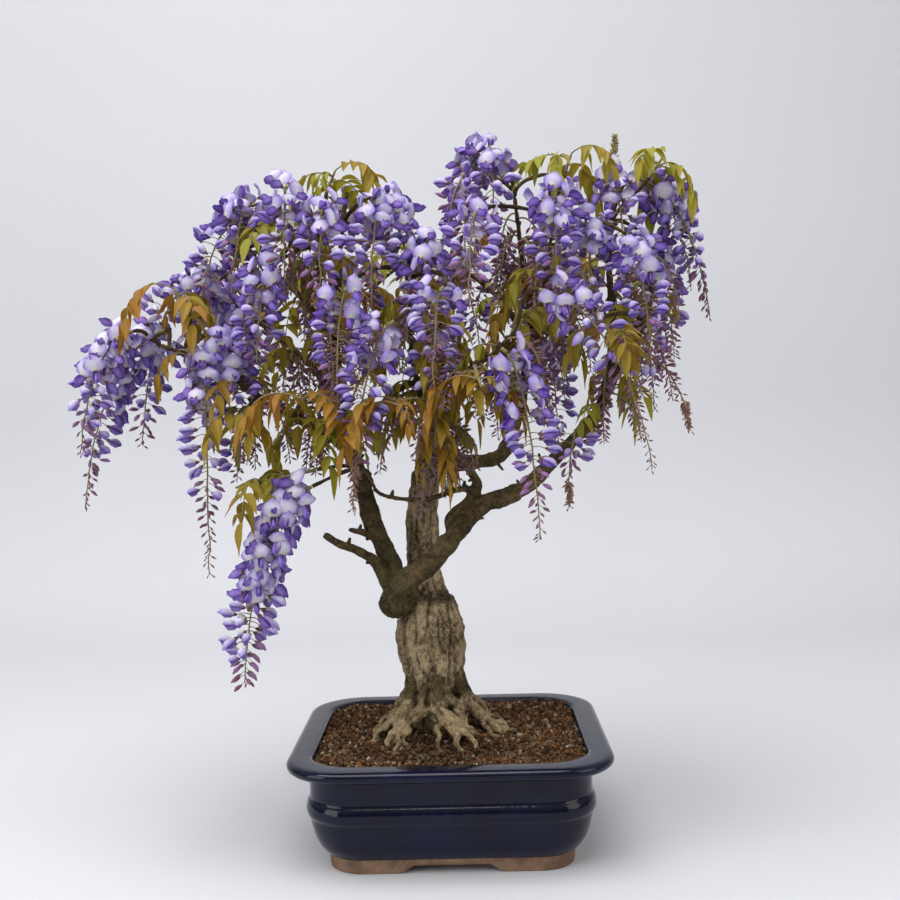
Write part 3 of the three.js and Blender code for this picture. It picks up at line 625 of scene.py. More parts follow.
def leaf_skin():
    """mark holds the place across the leaflet, the place along it, and how bronze it is."""
    n = Nodes("leaf")
    across, along, tint = n.split(n.mark())
    away = n.math("ABSOLUTE", across)
    side = n.math("SINE", n.times(n.math("SUBTRACT", along, n.times(away, 0.35)), 62.0))
    vein = n.math("MAXIMUM", n.span(side, 0.8, 1.0, 0.0, 0.6), n.span(away, 0.1, 0.02))
    patch = n.noise(n.place(), 70.0, 3.0)
    base = n.colour(tint, (0.31, 0.33, 0.024), (0.31, 0.125, 0.009))
    base = n.colour(n.span(patch, 0.35, 0.7, 0.0, 0.45), base, (0.34, 0.2, 0.012))
    base = n.colour(n.times(vein, 0.5), base, (0.42, 0.36, 0.08))
    base = n.colour(n.span(n.math("MAXIMUM", away, along), 0.88, 1.0, 0.0, 0.4), base, (0.2, 0.07, 0.03))
    n.finish(Base_Color=base, Roughness=0.5, Specular_IOR_Level=0.3, Normal=n.bump(vein, 0.3, 0.0008))
    return n.glow(base, 0.35)


# ---- pot -----------------------------------------------------------------------------------------
def rounded(corners, steps=4):
    """A profile through the corners (inset, height, fillet radius), each fillet drawn by a few points."""
    out = []
    for k, (x, z, r) in enumerate(corners):
        here = np.array([x, z], float)
        if r == 0 or k in (0, len(corners) - 1):
            out.append(here)
            continue
        before, after = (np.array(corners[j][:2], float) for j in (k - 1, k + 1))
        a = here + unit(before - here) * min(r, 0.48 * np.linalg.norm(before - here))
        b = here + unit(after - here) * min(r, 0.48 * np.linalg.norm(after - here))
        for t in np.linspace(0, 1, steps + 1):
            out.append((1 - t) ** 2 * a + 2 * t * (1 - t) * here + t * t * b)
    return np.array(out)


def outline(inset, corner_steps=12, side_steps=14):
    """Points round the pot at an inset from the rim's edge."""
    corner = max(POT["corner"] - 0.6 * inset, 8)
    half = np.array([POT["width"], POT["depth"]]) / 2 - inset - corner
    points = []
    for quarter, sign in enumerate([(1, 1), (-1, 1), (-1, -1), (1, -1)]):
        arc = math.pi / 2 * quarter + np.linspace(0, math.pi / 2, corner_steps)
        points.append(sign * half + corner * np.stack([np.cos(arc), np.sin(arc)], -1))
    full = []
    for quarter in range(4):
        a, b = points[quarter][-1], points[(quarter + 1) % 4][0]
        full += [points[quarter], a + (b - a) * np.linspace(0, 1, side_steps + 1)[1:-1, None]]
    return np.vstack(full)


def loft(profile):
    """A skin swept round the pot. The foot's edge rises in the middle of each side."""
    rows = []
    for inset, height in profile:
        ring = outline(inset)
        level = np.full(len(ring), height)
        if height < POT["foot"] - 5:
            for k in (0, 1):
                other = np.abs(ring[:, 1 - k])
                reach = smooth(POT["arch"] / 2 + 5, POT["arch"] / 2 - 3, np.abs(ring[:, k]))
                facing = other > other.max() - 1
                level = np.maximum(level, np.where(facing, reach * POT["arch_rise"], 0))
        rows.append(np.column_stack([ring, level]))
    return np.array(rows)


def pot_piece():
    """The pot from its underside, up its outside and down its inside, with two holes drilled in it."""
    foot, top, sole, middle = POT["foot"], POT["height"], POT["foot_inset"], 120
    lip, hollow = top - POT["lip"], sole + POT["foot_wall"]
    profile = rounded([
        (middle, POT["under"], 0), (hollow, POT["under"], 0), (hollow, 0, 1), (sole + 1, 0, 1),
        (sole, foot - 1, 1), (36, foot + 0.6, 2), (28, 26, 9), (23, 42, 12), (21, 54, 2),
        (18.5, 57, 2.5), (17.5, 63, 4), (19, 70, 2.5), (21.5, 73, 2.5), (21.5, lip - 2, 4), (4, lip, 4),
        (0, top - 8, 3), (0, top - 3, 3), (4, top, 3), (POT["rim"] - 2, top, 2.5),
        (POT["rim"] + 1, top - 3, 2.5), (30, 94, 6), (31, 60, 8), (41, POT["floor"], 6),
        (middle, POT["floor"], 0),
    ])
    edges = [(0.5, top - 6), (2, top - 1), (POT["rim"], top - 1), (17.5, 63), (18.5, 57)]
    thin = np.max([np.exp(-np.sum((profile - edge) ** 2, 1) / 5) for edge in edges], 0)
    rows = loft(profile)
    count, columns = rows.shape[:2]
    points = rows.reshape(-1, 3)
    marks = np.column_stack([np.repeat(thin, columns), points[:, 2], np.zeros(len(points))])
    quads = grid(count, columns, closed=True)
    # Bare clay: the foot, which is low and among the outer rows, and the last rows, the floor inside.
    outer = quads[:, 0] < columns * count * 0.7
    low = points[quads][..., 2].mean(1) < foot + 0.5
    bare = low & outer | (quads[:, 0] >= columns * (count - 8))
    # Two fans close the underside and the floor, each about a point in the middle.
    ring = np.arange(columns)
    after, centre = np.roll(ring, -1), np.full(columns, count * columns)
    last = (count - 1) * columns
    under = np.stack([ring, centre, after], -1)
    floor = np.stack([ring + last, after + last, centre + 1], -1)
    parts = Parts()
    parts.add(np.vstack([points, (0, 0, POT["under"]), (0, 0, POT["floor"])]),
              [quads[~bare], quads[bare], under, floor], [0, 1, 1, 1], np.vstack([marks, np.zeros((2, 3))]))
    made = place("pot_body", parts, [glaze(), clay()], ["pot"])
    drills = []
    for x in (-POT["drain_x"], POT["drain_x"]):
        bpy.ops.mesh.primitive_cylinder_add(
            vertices=48, radius=POT["drain_radius"] * MM, depth=POT["drill"] * MM)
        drill = bpy.context.object
        drill.location = Vector(POT_CENTRE) + Vector((x, 0, POT["drill_middle"])) * MM
        drills.append(drill)
        cut = made.modifiers.new("drain", "BOOLEAN")
        cut.operation, cut.solver, cut.object = "DIFFERENCE", "EXACT", drill
    applied(made)
    for drill in drills:
        bpy.data.objects.remove(drill)


def applied(made):
    """Makes the object's modifiers part of its mesh."""
    graph = bpy.context.evaluated_depsgraph_get()
    graph.update()
    mesh = bpy.data.meshes.new_from_object(made.evaluated_get(graph))
    made.modifiers.clear()
    made.data = mesh


# ---- tree ----------------------------------------------------------------------------------------
def root_path(heading, reach, count=40):
    turn = math.radians(heading)
    sway = 0.25 * math.sin(heading * 1.7)

    def at(share, height, swing):
        angle = turn + swing * sway
        return (TRUNK_X + math.cos(angle) * reach * share, math.sin(angle) * reach * share, height)

    stops = [(0.29, 174, 0), (0.42, 153, 0.2), (0.6, 133, 1), (0.82, 117, 1), (1, 98, 1.6)]
    return catmull([at(*stop) for stop in stops], count)


def drift(path, pitch, *others):
    """Noise that changes along a path, once in each pitch or so."""
    return noise3(np.column_stack(np.broadcast_arrays(lengths(path) / pitch, *others)))


def wavy(path, swing, pitch, seed):
    """A path that wanders sideways, more in its middle than at its ends."""
    sway = np.stack([drift(path, pitch, seed, k) for k in range(3)], -1)
    hold = np.sin(np.pi * np.linspace(0, 1, len(path)))[:, None] ** 0.5
    return path + swing * sway * hold


def wood_lines():
    """Every limb with its path, its radii along it and whether it is a root (1) or not (0)."""
    trunk = catmull(TRUNK, 150)
    thick = np.interp(np.linspace(0, 1, len(trunk)) * (len(GIRTH) - 1), range(len(GIRTH)), GIRTH)
    # The roots add to the trunk's foot, so it is slimmer there.
    lines = [(trunk, thick * mix(0.72, 0.98, smooth(112, 176, trunk[:, 2])), 0)]
    # The burl: a short arm out of the trunk, and the knob at its end.
    lines.append((catmull([(-24, 2, 262), (-40, -14, 262), (-56, -30, 264)], 20), np.full(20, 12.5), 0))
    lift = np.linspace(-0.98, 0.98, 16)
    knob = np.stack([-55 + 0 * lift, -26 + 0 * lift, 256 + 17 * lift], -1)
    lines.append((knob, 17.5 * np.sqrt(1 - lift**2), 0))
    for k, (heading, reach, radius) in enumerate(ROOTS):
        path = wavy(root_path(heading, reach), 7, 13, k)
        swell = 1 + 0.3 * drift(path, 9, k, 0)
        lines.append((path, radius * np.linspace(0.62, 0.34, len(path)) * swell, 1))
        for hand in (-1, 1) if k % 2 else (1,):
            branch = path[9 + 4 * (k % 3) + 4 * hand:]
            turn = math.radians(heading) + hand * 1.45
            apart = np.linspace(0, 1, len(branch))[:, None] ** 0.8
            aside = apart * np.array([math.cos(turn), math.sin(turn), 0.04])
            branch = wavy(branch + aside * (19 + 7 * (k % 2)), 6, 12, 40 + k + hand)
            lines.append((branch, radius * np.linspace(0.42, 0.26, len(branch)), 1))
    count = 36
    for k, (start, end, high, low) in enumerate(CROSSING_ROOTS):
        turn = np.radians(np.linspace(start, end, count))
        away = mix(35, 58, np.linspace(0, 1, count) ** 2)
        height = np.linspace(high, low, count)
        path = np.stack([TRUNK_X + away * np.cos(turn), away * np.sin(turn), height], -1)
        swell = 1 + 0.3 * drift(path, 9, k, 7)
        lines.append((wavy(path, 5, 13, 70 + k), np.linspace(5.6, 3.4, count) * swell, 1))
    for name, (points, first, last) in BOUGHS.items():
        slim = 0.82 if name in ("inner", "cross") else 1
        count = max(12, int(lengths(np.array(points, float))[-1] / 3))
        path = catmull(points, count)
        swell = 1 + 0.2 * drift(path, 14, path[:, 0] / 90, path[:, 1] / 90)
        lines.append((path, np.linspace(first, last, count) * swell * slim, 0))
    return lines


RINGS = [(catmull(points, len(points)), first, last) for points, first, last in BOUGHS.values()]


def nearest_wood(at):
    """The nearest point of a bough, the bough's radius there and its direction. A bough that lies above
    counts as further off."""
    best = (math.inf,)
    for rings, first, last in RINGS:
        steps = len(rings) - 1
        for k in range(steps):
            a, b = rings[k], rings[k + 1]
            t = np.clip(np.dot(at - a, b - a) / np.dot(b - a, b - a), 0, 1)
            point = a + (b - a) * t
            reach = np.linalg.norm(point - at) + 0.6 * max(0, point[2] - at[2])
            if reach < best[0]:
                best = (reach, point, mix(first, last, (k + 0.5) / steps), unit(b - a))
    return best[1:]


def twig_path(at, direction):
    point, radius, along = nearest_wood(at - direction * TWIG_BACK)
    length = np.linalg.norm(point - at)
    path = bezier(point, point + along * 0.3 * length, at - direction * 0.4 * length, at,
                  max(8, int(length / 4)))
    thick = min(3.4, 0.9 * radius)
    return path, mix(thick, TWIG_END, np.minimum(1, 1.3 * np.linspace(0, 1, len(path))))


def raceme_path(at, tip, count=60):
    """A path that leaves its spur sideways and bends down to the tip."""
    aside = (tip - at) * (1, 1, 0)
    drop = at[2] - tip[2]
    return bezier(at, at + 0.5 * aside - (0, 0, 0.08 * drop),
                  at + 0.9 * aside - (0, 0, 0.5 * drop), tip, count)


def spur_direction(at, tips):
    """The direction in which a spur's racemes leave it, taken together."""
    total = np.zeros(3)
    for tip in tips:
        aside = (tip - at) * (1, 1, 0)
        total += unit(0.5 * aside - (0, 0, 0.08 * (at[2] - tip[2])))
    return unit(total)


def tree_piece(skin):
    lines = wood_lines()
    rough = Parts()
    for path, radii, _ in lines:
        rough.add(*tube(path, radii, 32 if radii.max() > 12 else 14))
    core = place("tree_wood", rough, [skin], ["tree"])
    remesh = core.modifiers.new("skin", "REMESH")
    remesh.mode, remesh.voxel_size = "VOXEL", VOXEL * MM
    relax = core.modifiers.new("relax", "SMOOTH")
    relax.factor, relax.iterations = 0.5, 2
    applied(core)
    mesh = core.data
    count = len(mesh.vertices)
    world, normals = np.zeros(count * 3), np.zeros(count * 3)
    mesh.vertices.foreach_get("co", world)
    mesh.vertices.foreach_get("normal", normals)
    at = (world.reshape(-1, 3) - POT_CENTRE) / MM
    normals = normals.reshape(-1, 3)
    limb, radius, root, on_trunk = limb_coordinates(at, lines)
    height = at[:, 2]
    thick = smooth(6, 22, radius)
    ridge = 1 - np.abs(noise3(limb * (1.5, 1.5, 1.3) + 5)) * 2.4
    deep = 1 - np.abs(noise3(limb * (0.6, 0.6, 0.4) + 31)) * 2.2
    furrow = smooth(0.35, 1.0, deep) * thick
    fissure = np.clip(0.6 * smooth(0.4, 1.0, ridge) + 0.5 * smooth(0.75, 1.0, deep), 0, 1)
    lumps = noise3(at / 20 + 9) * 2.8 * thick + noise3(at / 8 + 3) * np.minimum(1.1, 0.11 * radius)
    gnarl = (noise3(at / 8 + 40) * 1.3 + noise3(at / 4 + 60) * 0.7 - 0.3) * root
    fine = noise3(limb * 4.3 + 17) * (0.35 + 0.5 * thick) + noise3(at / 3.1) * 0.45 * smooth(2, 8, radius)
    collar = np.exp(-(((height - 259 - 3 * noise3(at / 15)) / 6) ** 2)) * thick
    neck = smooth(254, 262, height + 3 * noise3(at / 15)) * smooth(310, 270, height) * thick
    scab = collar * noise3(at / 3.6 + 70) * 2.6
    moved = (1.9 * thick + lumps + gnarl + fine + scab
             - 3.4 * neck - fissure * (0.3 + 1.3 * thick) - 2.6 * furrow)
    at = at + normals * moved[:, None]
    stain = 1.1 * collar * smooth(-0.5, 0.1, noise3(at / 4 + 8))
    dark = np.clip(0.7 * fissure + 0.5 * furrow + stain, 0, 1)
    mesh.vertices.foreach_set("co", (at * MM + POT_CENTRE).ravel().astype(np.float32))
    moss = smooth(235, 262, height) * smooth(345, 290, height) * smooth(-30, -48, at[:, 0])
    age = mix(0.5 * on_trunk * smooth(420, 340, height), 1, root * smooth(165, 135, height))
    finish_bark(mesh, limb, np.stack([dark, age, moss], -1))
    return lines


def finish_bark(mesh, limb, marks):
    """Gives a mesh what the bark material reads."""
    keep(mesh, "limb", limb)
    keep(mesh, "mark", marks)
    mesh.polygons.foreach_set("use_smooth", np.ones(len(mesh.polygons), bool))
    mesh.update()


def limb_coordinates(points, lines):
    """For each point: a coordinate that runs slowly along the nearest limb and fast across it, the
    limb's radius there, whether it is a root, and whether it is the trunk."""
    rows = []
    for k, (path, radius, is_root) in enumerate(lines):
        _, side, over = frames(path)
        rows.append((path, radius, lengths(path) + 100 * k, side, over, np.full(len(path), is_root)))
    samples, radii, runs, sides, overs, roots = (np.concatenate(column) for column in zip(*rows))
    trunk_end = len(lines[0][0])
    trunk, limbs = search_tree(samples[:trunk_end]), search_tree(samples[trunk_end:], trunk_end)
    near = np.empty(len(points), int)
    for k, p in enumerate(points):
        found = [trunk.find(p), *limbs.find_n(p, 10)]
        near[k] = min(found, key=lambda one: one[2] - radii[one[1]])[1]
    off = points - samples[near]
    turn = np.arctan2(np.sum(off * overs[near], 1), np.sum(off * sides[near], 1))
    wide = np.maximum(radii[near], 3) / 6.5
    limb = np.stack([np.cos(turn) * wide, np.sin(turn) * wide, runs[near] / 30], -1)
    return limb, radii[near], roots[near], near < trunk_end


def twigs_piece(skin):
    parts = Parts()
    ends = [(at, spur_direction(at, tips)) for at, tips in SPURS]
    ends += [(at, unit(tip - at)) for at, tip in SHOOTS]
    limbs, marks = [], []
    for at, direction in ends:
        path, radii = twig_path(at, direction)
        swell = 1 + 0.12 * np.sin(0.9 * np.arange(len(path)) + at[0])
        points, faces = tube(path, radii * swell, 9)
        turn = np.concatenate([np.tile(np.linspace(0, TAU, 9, endpoint=False), len(path)), [0, 0]])
        run = per_ring(lengths(path), 9) / 30 + at[0]
        limbs.append(np.stack([np.cos(turn) * 0.5, np.sin(turn) * 0.5, run], -1))
        marks.append(np.tile((0.2, 0, 0), (len(points), 1)))
        rough = 0.35 * noise3(points / 3.5)[:, None] * unit(points - per_ring(path, 9))
        parts.add(points + rough, faces)
    # Snags: the short stumps of old twigs all along the boughs.
    for corners, first, last in BOUGHS.values():
        path = catmull(corners, 60)
        _, side, over = frames(path)
        for k in range(6, 58, 4 if lengths(path)[-1] > 150 else 9):
            out = unit(round_about(side[k], over[k], k * 1.9) + (0, 0, 0.35))
            reach = mix(first, last, k / 60)
            bend = np.array([(0, 0, 0), (0, 0, 0), (0.6, -0.4, 1.6)])
            steps = (0.5 * reach, reach + 1, reach + 3 + 3 * (k % 3))
            snag = np.array([path[k] + out * step for step in steps]) + bend
            points, faces = tube(snag, (2.6, 2.0, 1.3), 6)
            limbs.append(points / 9)
            marks.append(np.tile((0.35, 0, 0), (len(points), 1)))
            parts.add(points, faces)
    made = place("twigs", parts, [skin], ["tree"])
    finish_bark(made.data, np.vstack(limbs), np.vstack(marks))


# ---- soil ----------------------------------------------------------------------------------------
def soil_height(x, y):
    """The soil's level, by how far inside the rim's edge a point lies."""
    inset = 60.0
    half = np.array([POT["width"] / 2, POT["depth"] / 2]) - inset
    away = np.abs(np.stack([x, y], -1))
    beyond = np.maximum(away - half, 0)
    within = np.min(half - np.minimum(away, half), -1)
    depth = inset - np.hypot(beyond[..., 0], beyond[..., 1]) + within
    return np.interp(depth, (25, 64, 105), (SOIL_TOP, SOIL_TOP + 0.7 * SOIL_MOUND, SOIL_TOP + SOIL_MOUND))


def solid_of(corners):
    """The corners and faces of a regular solid with 12 or with 6 corners."""
    golden = (1 + 5**0.5) / 2 if corners == 12 else 0
    points = [np.roll((0, a, b * golden), turn) for turn in range(3) for a in (-1, 1) for b in (-1, 1)]
    points = unit(np.unique(np.round(points, 9), axis=0))
    gaps = np.linalg.norm(points[:, None] - points[None], axis=2)
    edge = gaps[gaps > 0.01].min() * 1.01
    faces = []
    for i, j, k in combinations(range(corners), 3):
        if max(gaps[i, j], gaps[j, k], gaps[k, i]) < edge:
            a, b, c = points[i], points[j], points[k]
            faces.append((i, j, k) if np.dot(np.cross(b - a, c - a), a) > 0 else (i, k, j))
    return points, np.array(faces)


def grains_piece(lines):
    """Granules of fired clay and pumice, packed over the soil and clear of the wood."""
    parts = Parts()
    stones = [solid_of(12), solid_of(6)]
    near = search_tree(np.vstack([path for path, _, _ in lines]))
    radii = np.concatenate([radius for _, radius, _ in lines])
    half = np.array([POT["width"] / 2 - POT["rim"] - 2, POT["depth"] / 2 - POT["rim"] - 2])
    corner = 40
    placed = 0
    while placed < GRANULES:
        x, y = rng.uniform(-half, half)
        beyond = np.maximum(np.abs((x, y)) - (half - corner), 0)
        if np.hypot(*beyond) > corner:
            continue
        coarse = placed % 8 < 3
        size = rng.uniform(1.7, 2.7) if coarse else rng.uniform(1.0, 1.9)
        corners, faces = stones[0 if coarse else 1]
        z = soil_height(np.array([x]), np.array([y]))[0] + rng.uniform(-0.1, 1.3) * size
        spot = (x, y, z)
        if any(distance < radii[k] + size for _, k, distance in near.find_n(spot, 6)):
            continue
        turn = np.array(Euler(rng.uniform(0, 6.3, 3)).to_matrix())
        stone = corners * rng.uniform(0.78, 1.2, (len(corners), 1)) * rng.uniform(0.7, 1.2, 3)
        # Painted shade: the granules are darker in front of the trunk's foot, among the roots.
        painted_root_shade = mix(0.45, 1, smooth(22, 60, abs(y + 78) + abs(x + 8) * 0.5))
        brightness_and_shade = rng.uniform(0.7, 1.2) * painted_root_shade
        parts.add(stone @ turn.T * size + spot, faces, 0, (rng.uniform(), brightness_and_shade, 0))
        placed += 1
    place("granules", parts, [grain()], (), shade=False)


# ---- florets -------------------------------------------------------------------------------------
BANNER, WING, CALYX, STEM, BUD, LEAFLET = range(6)
CALYX_LINE = [(0, -1.8, -0.3), (0, 1.2, 0.1), (0, 4.4, 0.4)]


def sheet(rows, columns, shape, slot):
    """A petal as a grid. shape(u, v) gives the point for u from -1 to 1 across and v from 0 to 1 up."""
    u, v = np.meshgrid(np.linspace(-1, 1, columns), np.linspace(0, 1, rows))
    points = np.stack(np.broadcast_arrays(*shape(u, v)), -1).reshape(-1, 3)
    marks = np.stack([u.ravel(), v.ravel(), 0 * u.ravel()], -1)
    return points, grid(rows, columns), slot, marks


def body_of(path, radii, sides, slot, squeeze=1.0):
    points, faces = tube(np.array(path, float), np.array(radii, float), sides)
    middle = per_ring(path, sides)
    points = middle + (points - middle) * (squeeze, 1, 1)
    up = per_ring(np.linspace(0, 1, len(path)), sides)
    return points, faces, slot, np.stack([0 * up, up, 0 * up], -1)


def open_flower(tall):
    """Petals about the calyx, which is at the origin. The flower looks along +y with its banner up, fully
    where tall is 1."""

    def banner(u, v):
        width = 10.9 * np.sin(np.clip(v * 0.9 + 0.12, 0, 1) * math.pi) ** 0.5
        notch = -1.3 * np.exp(-((u / 0.2) ** 2)) * v**6
        rise = 1.0 + (18.5 * v + notch - 2.6 * u * u * v) * tall
        out = 3.0 + 4.6 * v - 9.0 * v * v * tall - 4.2 * u * u * (0.4 + 0.6 * v) + 1.6 * np.abs(u) ** 3 * v
        crimp = 0.9 * np.sin(7 * v + 4 * u) * np.abs(u)
        return u * width, out + crimp, rise

    def wing(side):
        def shape(u, v):
            wide = 4.4 * np.sin(np.clip(v * 0.86 + 0.12, 0, 1) * math.pi) ** 0.7
            cup = 3.2 * np.sin(math.pi * np.clip(v * 0.9 + 0.08, 0, 1)) * (1 - 0.35 * u * u)
            return side * (0.7 + cup), 2 + 13.5 * v, 0.4 - 1.6 * v - 3.0 * v * v + u * wide
        return shape

    parts = [sheet(6, 7, banner, BANNER), sheet(4, 3, wing(1), WING), sheet(4, 3, wing(-1), WING)]
    keel = [(0, 2, 0), (0, 6, -1.6), (0, 11, -3.2), (0, 15.4, -2.0)]
    parts.append(body_of(keel, (0.9, 2.7, 3.0, 0.7), 4, WING, 0.7))
    parts.append(body_of(CALYX_LINE, (0.9, 2.4, 2.2), 5, CALYX))
    return parts


def opening_flower():
    """The banner is still folded over the wings, so the flower is a plump boat, pale above."""

    def hood(u, v):
        turn = u * 1.75
        plump = 4.4 * np.sin(np.clip(v * 0.9 + 0.07, 0, 1) * math.pi) ** 0.62
        return (np.sin(turn) * plump, 1.5 + 16.0 * v + 1.2 * np.cos(turn) * v,
                1.2 + 2.6 * np.sin(v * 2.6) + np.cos(turn) * plump * 0.95 - 1.0)

    parts = [sheet(5, 7, hood, BANNER)]
    keel = [(0, 1.5, 0), (0, 5, -1.0), (0, 11, -1.3), (0, 16.2, 1.4)]
    parts.append(body_of(keel, (0.9, 2.9, 3.2, 0.7), 6, WING, 0.9))
    parts.append(body_of(CALYX_LINE, (0.9, 2.4, 2.2), 5, CALYX))
    return parts


def closed_bud():
    bud = [(0, 0, 0), (0, 3.4, 0.4), (0, 8.5, 0.8), (0, 14, 0.1)]
    return [body_of(bud, (1.5, 2.9, 3.1, 0.7), 6, BUD, 0.85),
            body_of(CALYX_LINE, (0.8, 2.2, 2.0), 5, CALYX)]


def young_bud():
    """Still mostly calyx: narrow and pointed."""
    bud = [(0, -1.2, -0.2), (0, 1.5, 0.1), (0, 6, 0.3), (0, 11, -0.3)]
    return [body_of(bud, (0.7, 2.1, 2.1, 0.4), 4, BUD, 0.9)]


# By the number of the spur, from 1: how much paler or younger its flowers are, and which tips are cones.
PALE = {28: 0.5, 3: 0.15, 16: 0.12, 18: 0.1, 9: 0.1, 7: 0.1}
YOUNG = {28: -0.2, 13: 0.12, 25: 0.45, 27: 0.3, 24: 0.2, 14: 0.35, 17: 0.2, 29: 0.3, 26: 0.12, 21: 0.1}
CONES = (20, 25, 27, 13)

TEMPLATES = {
    "open": open_flower(1.0), "bent": open_flower(0.72), "half": opening_flower(), "bud": closed_bud(),
    "young": young_bud(),
    "bract": [body_of([(0, 0, 0), (0, 3, 0.8), (0, 8, 1.6)], (1.4, 2.5, 0.4), 4, STEM, 0.6)],
}


def floret(parts, root, out, kind, size, stalk, tint):
    """One floret on its stalk, from a point of the raceme's stem. out is the way that it grows."""
    out = unit(out)
    bow = 0.16 * stalk
    seat = root + out * stalk - (0, 0, bow)
    path = np.array([root, root + out * stalk * 0.5 + (0, 0, 0.1 * bow), seat])
    parts.add(*tube(path, np.array([0.75, 0.5, 0.6]) * max(size, 0.7), 3), STEM, (0, 0.5, 0.6))
    face = unit(out - (0, 0, 0.25) + rng.normal(0, 0.24, 3))
    across = unit(np.cross(face, (0, 0, 1)) + rng.normal(0, 0.22, 3))
    across = unit(across - face * np.dot(across, face))
    over = np.cross(across, face)
    turn = np.stack([across, face, over])
    for points, faces, slot, marks in TEMPLATES[kind]:
        shaken = points * size * rng.uniform(0.92, 1.08, 3)
        parts.add(shaken @ turn + seat, faces, slot, marks + (0, 0, tint))


def raceme(parts, at, tip, young=0.0, pale=0.0, cone=False):
    """Open flowers at the top, then flowers that are opening, then buds that shrink to the tip. young
    moves that order up the raceme. A cone is a tip still clad in its brown bracts, and a raceme that
    stands has nothing else."""
    standing = tip[2] > at[2]
    path = raceme_path(at, tip - (0, 0, 10) if standing else tip)
    total = lengths(path)[-1]
    sway = np.stack([noise3(path / 19 + k) for k in (3, 7, 11)], -1)
    stem = path + 1.4 * sway * smooth(0, 0.15, np.linspace(0, 1, len(path)))[:, None]
    points, faces = tube(stem[::2], np.linspace(1.25, 0.6, len(stem[::2])), 5)
    up = per_ring(np.linspace(0, 1, len(stem[::2])), 5)
    parts.add(points, faces, STEM, np.stack([0 * up, up, 0.25 + 0.3 * up], -1))
    along, side, over = frames(stem)
    count = int(total / 3.3 * (1.3 if pale > 0.3 else 1)) + 8
    turn = rng.uniform(0, 6.3)
    # Paleness: each raceme's own at random and from PALE, plus painted light, which makes the racemes at
    # the far left paler where more light falls on them.
    pale_tone_and_left_light = rng.normal(0, 0.12) - pale - 0.2 * smooth(-150, -260, at[0])
    bracts = (64 if standing else 46) if cone else 0
    for i in range(bracts):
        k = part_way(stem, mix(0.2 if standing else 0.68, 0.96, i / bracts))
        out = round_about(side[k], over[k], i * GOLDEN) + along[k] * 1.2
        floret(parts, stem[k], out, "bract", mix(0.85, 0.5, i / bracts), 1.2, 0.2 if standing else 0.9)
    if standing:
        return
    for i in range(count):
        t = mix(0.04, 0.995, (i / (count - 1)) ** 0.95)
        k = part_way(stem, t)
        angle = turn + i * GOLDEN + rng.normal(0, 0.3)
        turns = (angle + extra for extra in (0, 0.8, -0.8, 1.6, -1.6, 2.4, -2.4, 3.1))
        ways = [round_about(side[k], over[k], a) for a in turns]
        out = next((way for way in ways if inside(stem[k] + way * 40)), -unit(stem[k] * (1, 1, 0)))
        age = t + young + rng.normal(0, 0.035)
        if age < 0.44:
            kind = "open" if rng.uniform() < 0.62 else "bent"
        else:
            kind = "half" if age < 0.68 else "bud" if age < 0.85 else "young"
        size = 1.08 if pale > 0.3 else 0.97
        size *= mix(1, 0.6, smooth(0.5, 0.95, age)) * mix(1, 0.62, smooth(0.88, 1.08, age))
        stalk = mix(15.5, 3.6, smooth(0.35, 1.0, age)) * rng.uniform(0.7, 1.2)
        out = out + along[k] * mix(0.05, 0.6, smooth(0.5, 1, age)) + (0, 0, 0.12 * (age < 0.5))
        tint = np.clip(rng.normal(0.36, 0.22) + pale_tone_and_left_light + 0.28 * smooth(0.3, 0.6, age), 0, 1)
        if kind in ("bud", "young"):
            tint = np.clip(smooth(0.6, 0.95, age) + rng.normal(0, 0.12), 0, 1)
        floret(parts, stem[k], out, kind, size * rng.uniform(0.86, 1.1), stalk, tint)


def flower_skins():
    return [
        petal("banner", (0.8, 0.77, 0.87), (0.36, 0.29, 0.63), (0.22, 0.13, 0.53),
              eye=(0.88, 0.85, 0.56), share=0.22),
        petal("wing", (0.33, 0.22, 0.6), (0.09, 0.034, 0.31), (0.08, 0.03, 0.29), share=0.15),
        calyx_skin(), stem_skin(), bud_skin(), leaf_skin(),
    ]


def raceme_pieces(skins):
    for k, (at, tips) in enumerate(SPURS):
        parts = Parts()
        direction = spur_direction(at, tips)
        foot, fork = at + direction * STEM_GAP, at + direction * FORK
        spur = even(np.array([foot, fork + direction * 2]), 4)
        parts.add(*tube(spur, TWIG_END, 8), STEM, (0, 0, 0.2))
        for tip in tips:
            young = rng.uniform(-0.08, 0.16) + YOUNG.get(k + 1, 0)
            raceme(parts, fork, tip, young, PALE.get(k + 1, 0), k + 1 in CONES)
        place(f"raceme_{k + 1:02d}", parts, skins, [f"racemes_{k + 1:02d}"])


# ---- leaves --------------------------------------------------------------------------------------
LEAF = dict(stalk=18, rachis=38, length=28, half=5.6, pairs=5)


def leaflet(parts, root, towards, size, tint, twist):
    u, v = np.meshgrid(np.linspace(-1, 1, 5), np.linspace(0, 1, 7))
    length, half = LEAF["length"] * size, LEAF["half"] * size
    towards = unit(towards)
    across = unit(np.cross(towards, (0, 0, 1)) + 0.001)
    over = np.cross(across, towards)
    across = unit(across + over * twist)
    over = np.cross(across, towards)
    wide = half * np.sin(math.pi * v**0.74) ** 0.85 * (1 - 0.5 * smooth(0.72, 1, v)) + 0.2
    sag = -0.2 * length * v**2 - 0.1 * length * smooth(0.6, 1, v)
    fold = 0.55 * np.abs(u) * wide
    wave = 0.5 * np.sin(v * 11 + 2 * u) * np.abs(u) * size
    points = (root + towards * (v * length)[..., None] + across * (u * wide)[..., None]
              + over * (fold + wave)[..., None] + np.array([0, 0, 1.0]) * sag[..., None])
    marks = np.stack([u, v, np.full_like(u, tint)], -1)
    parts.add(points.reshape(-1, 3), grid(7, 5), LEAFLET, marks.reshape(-1, 3))


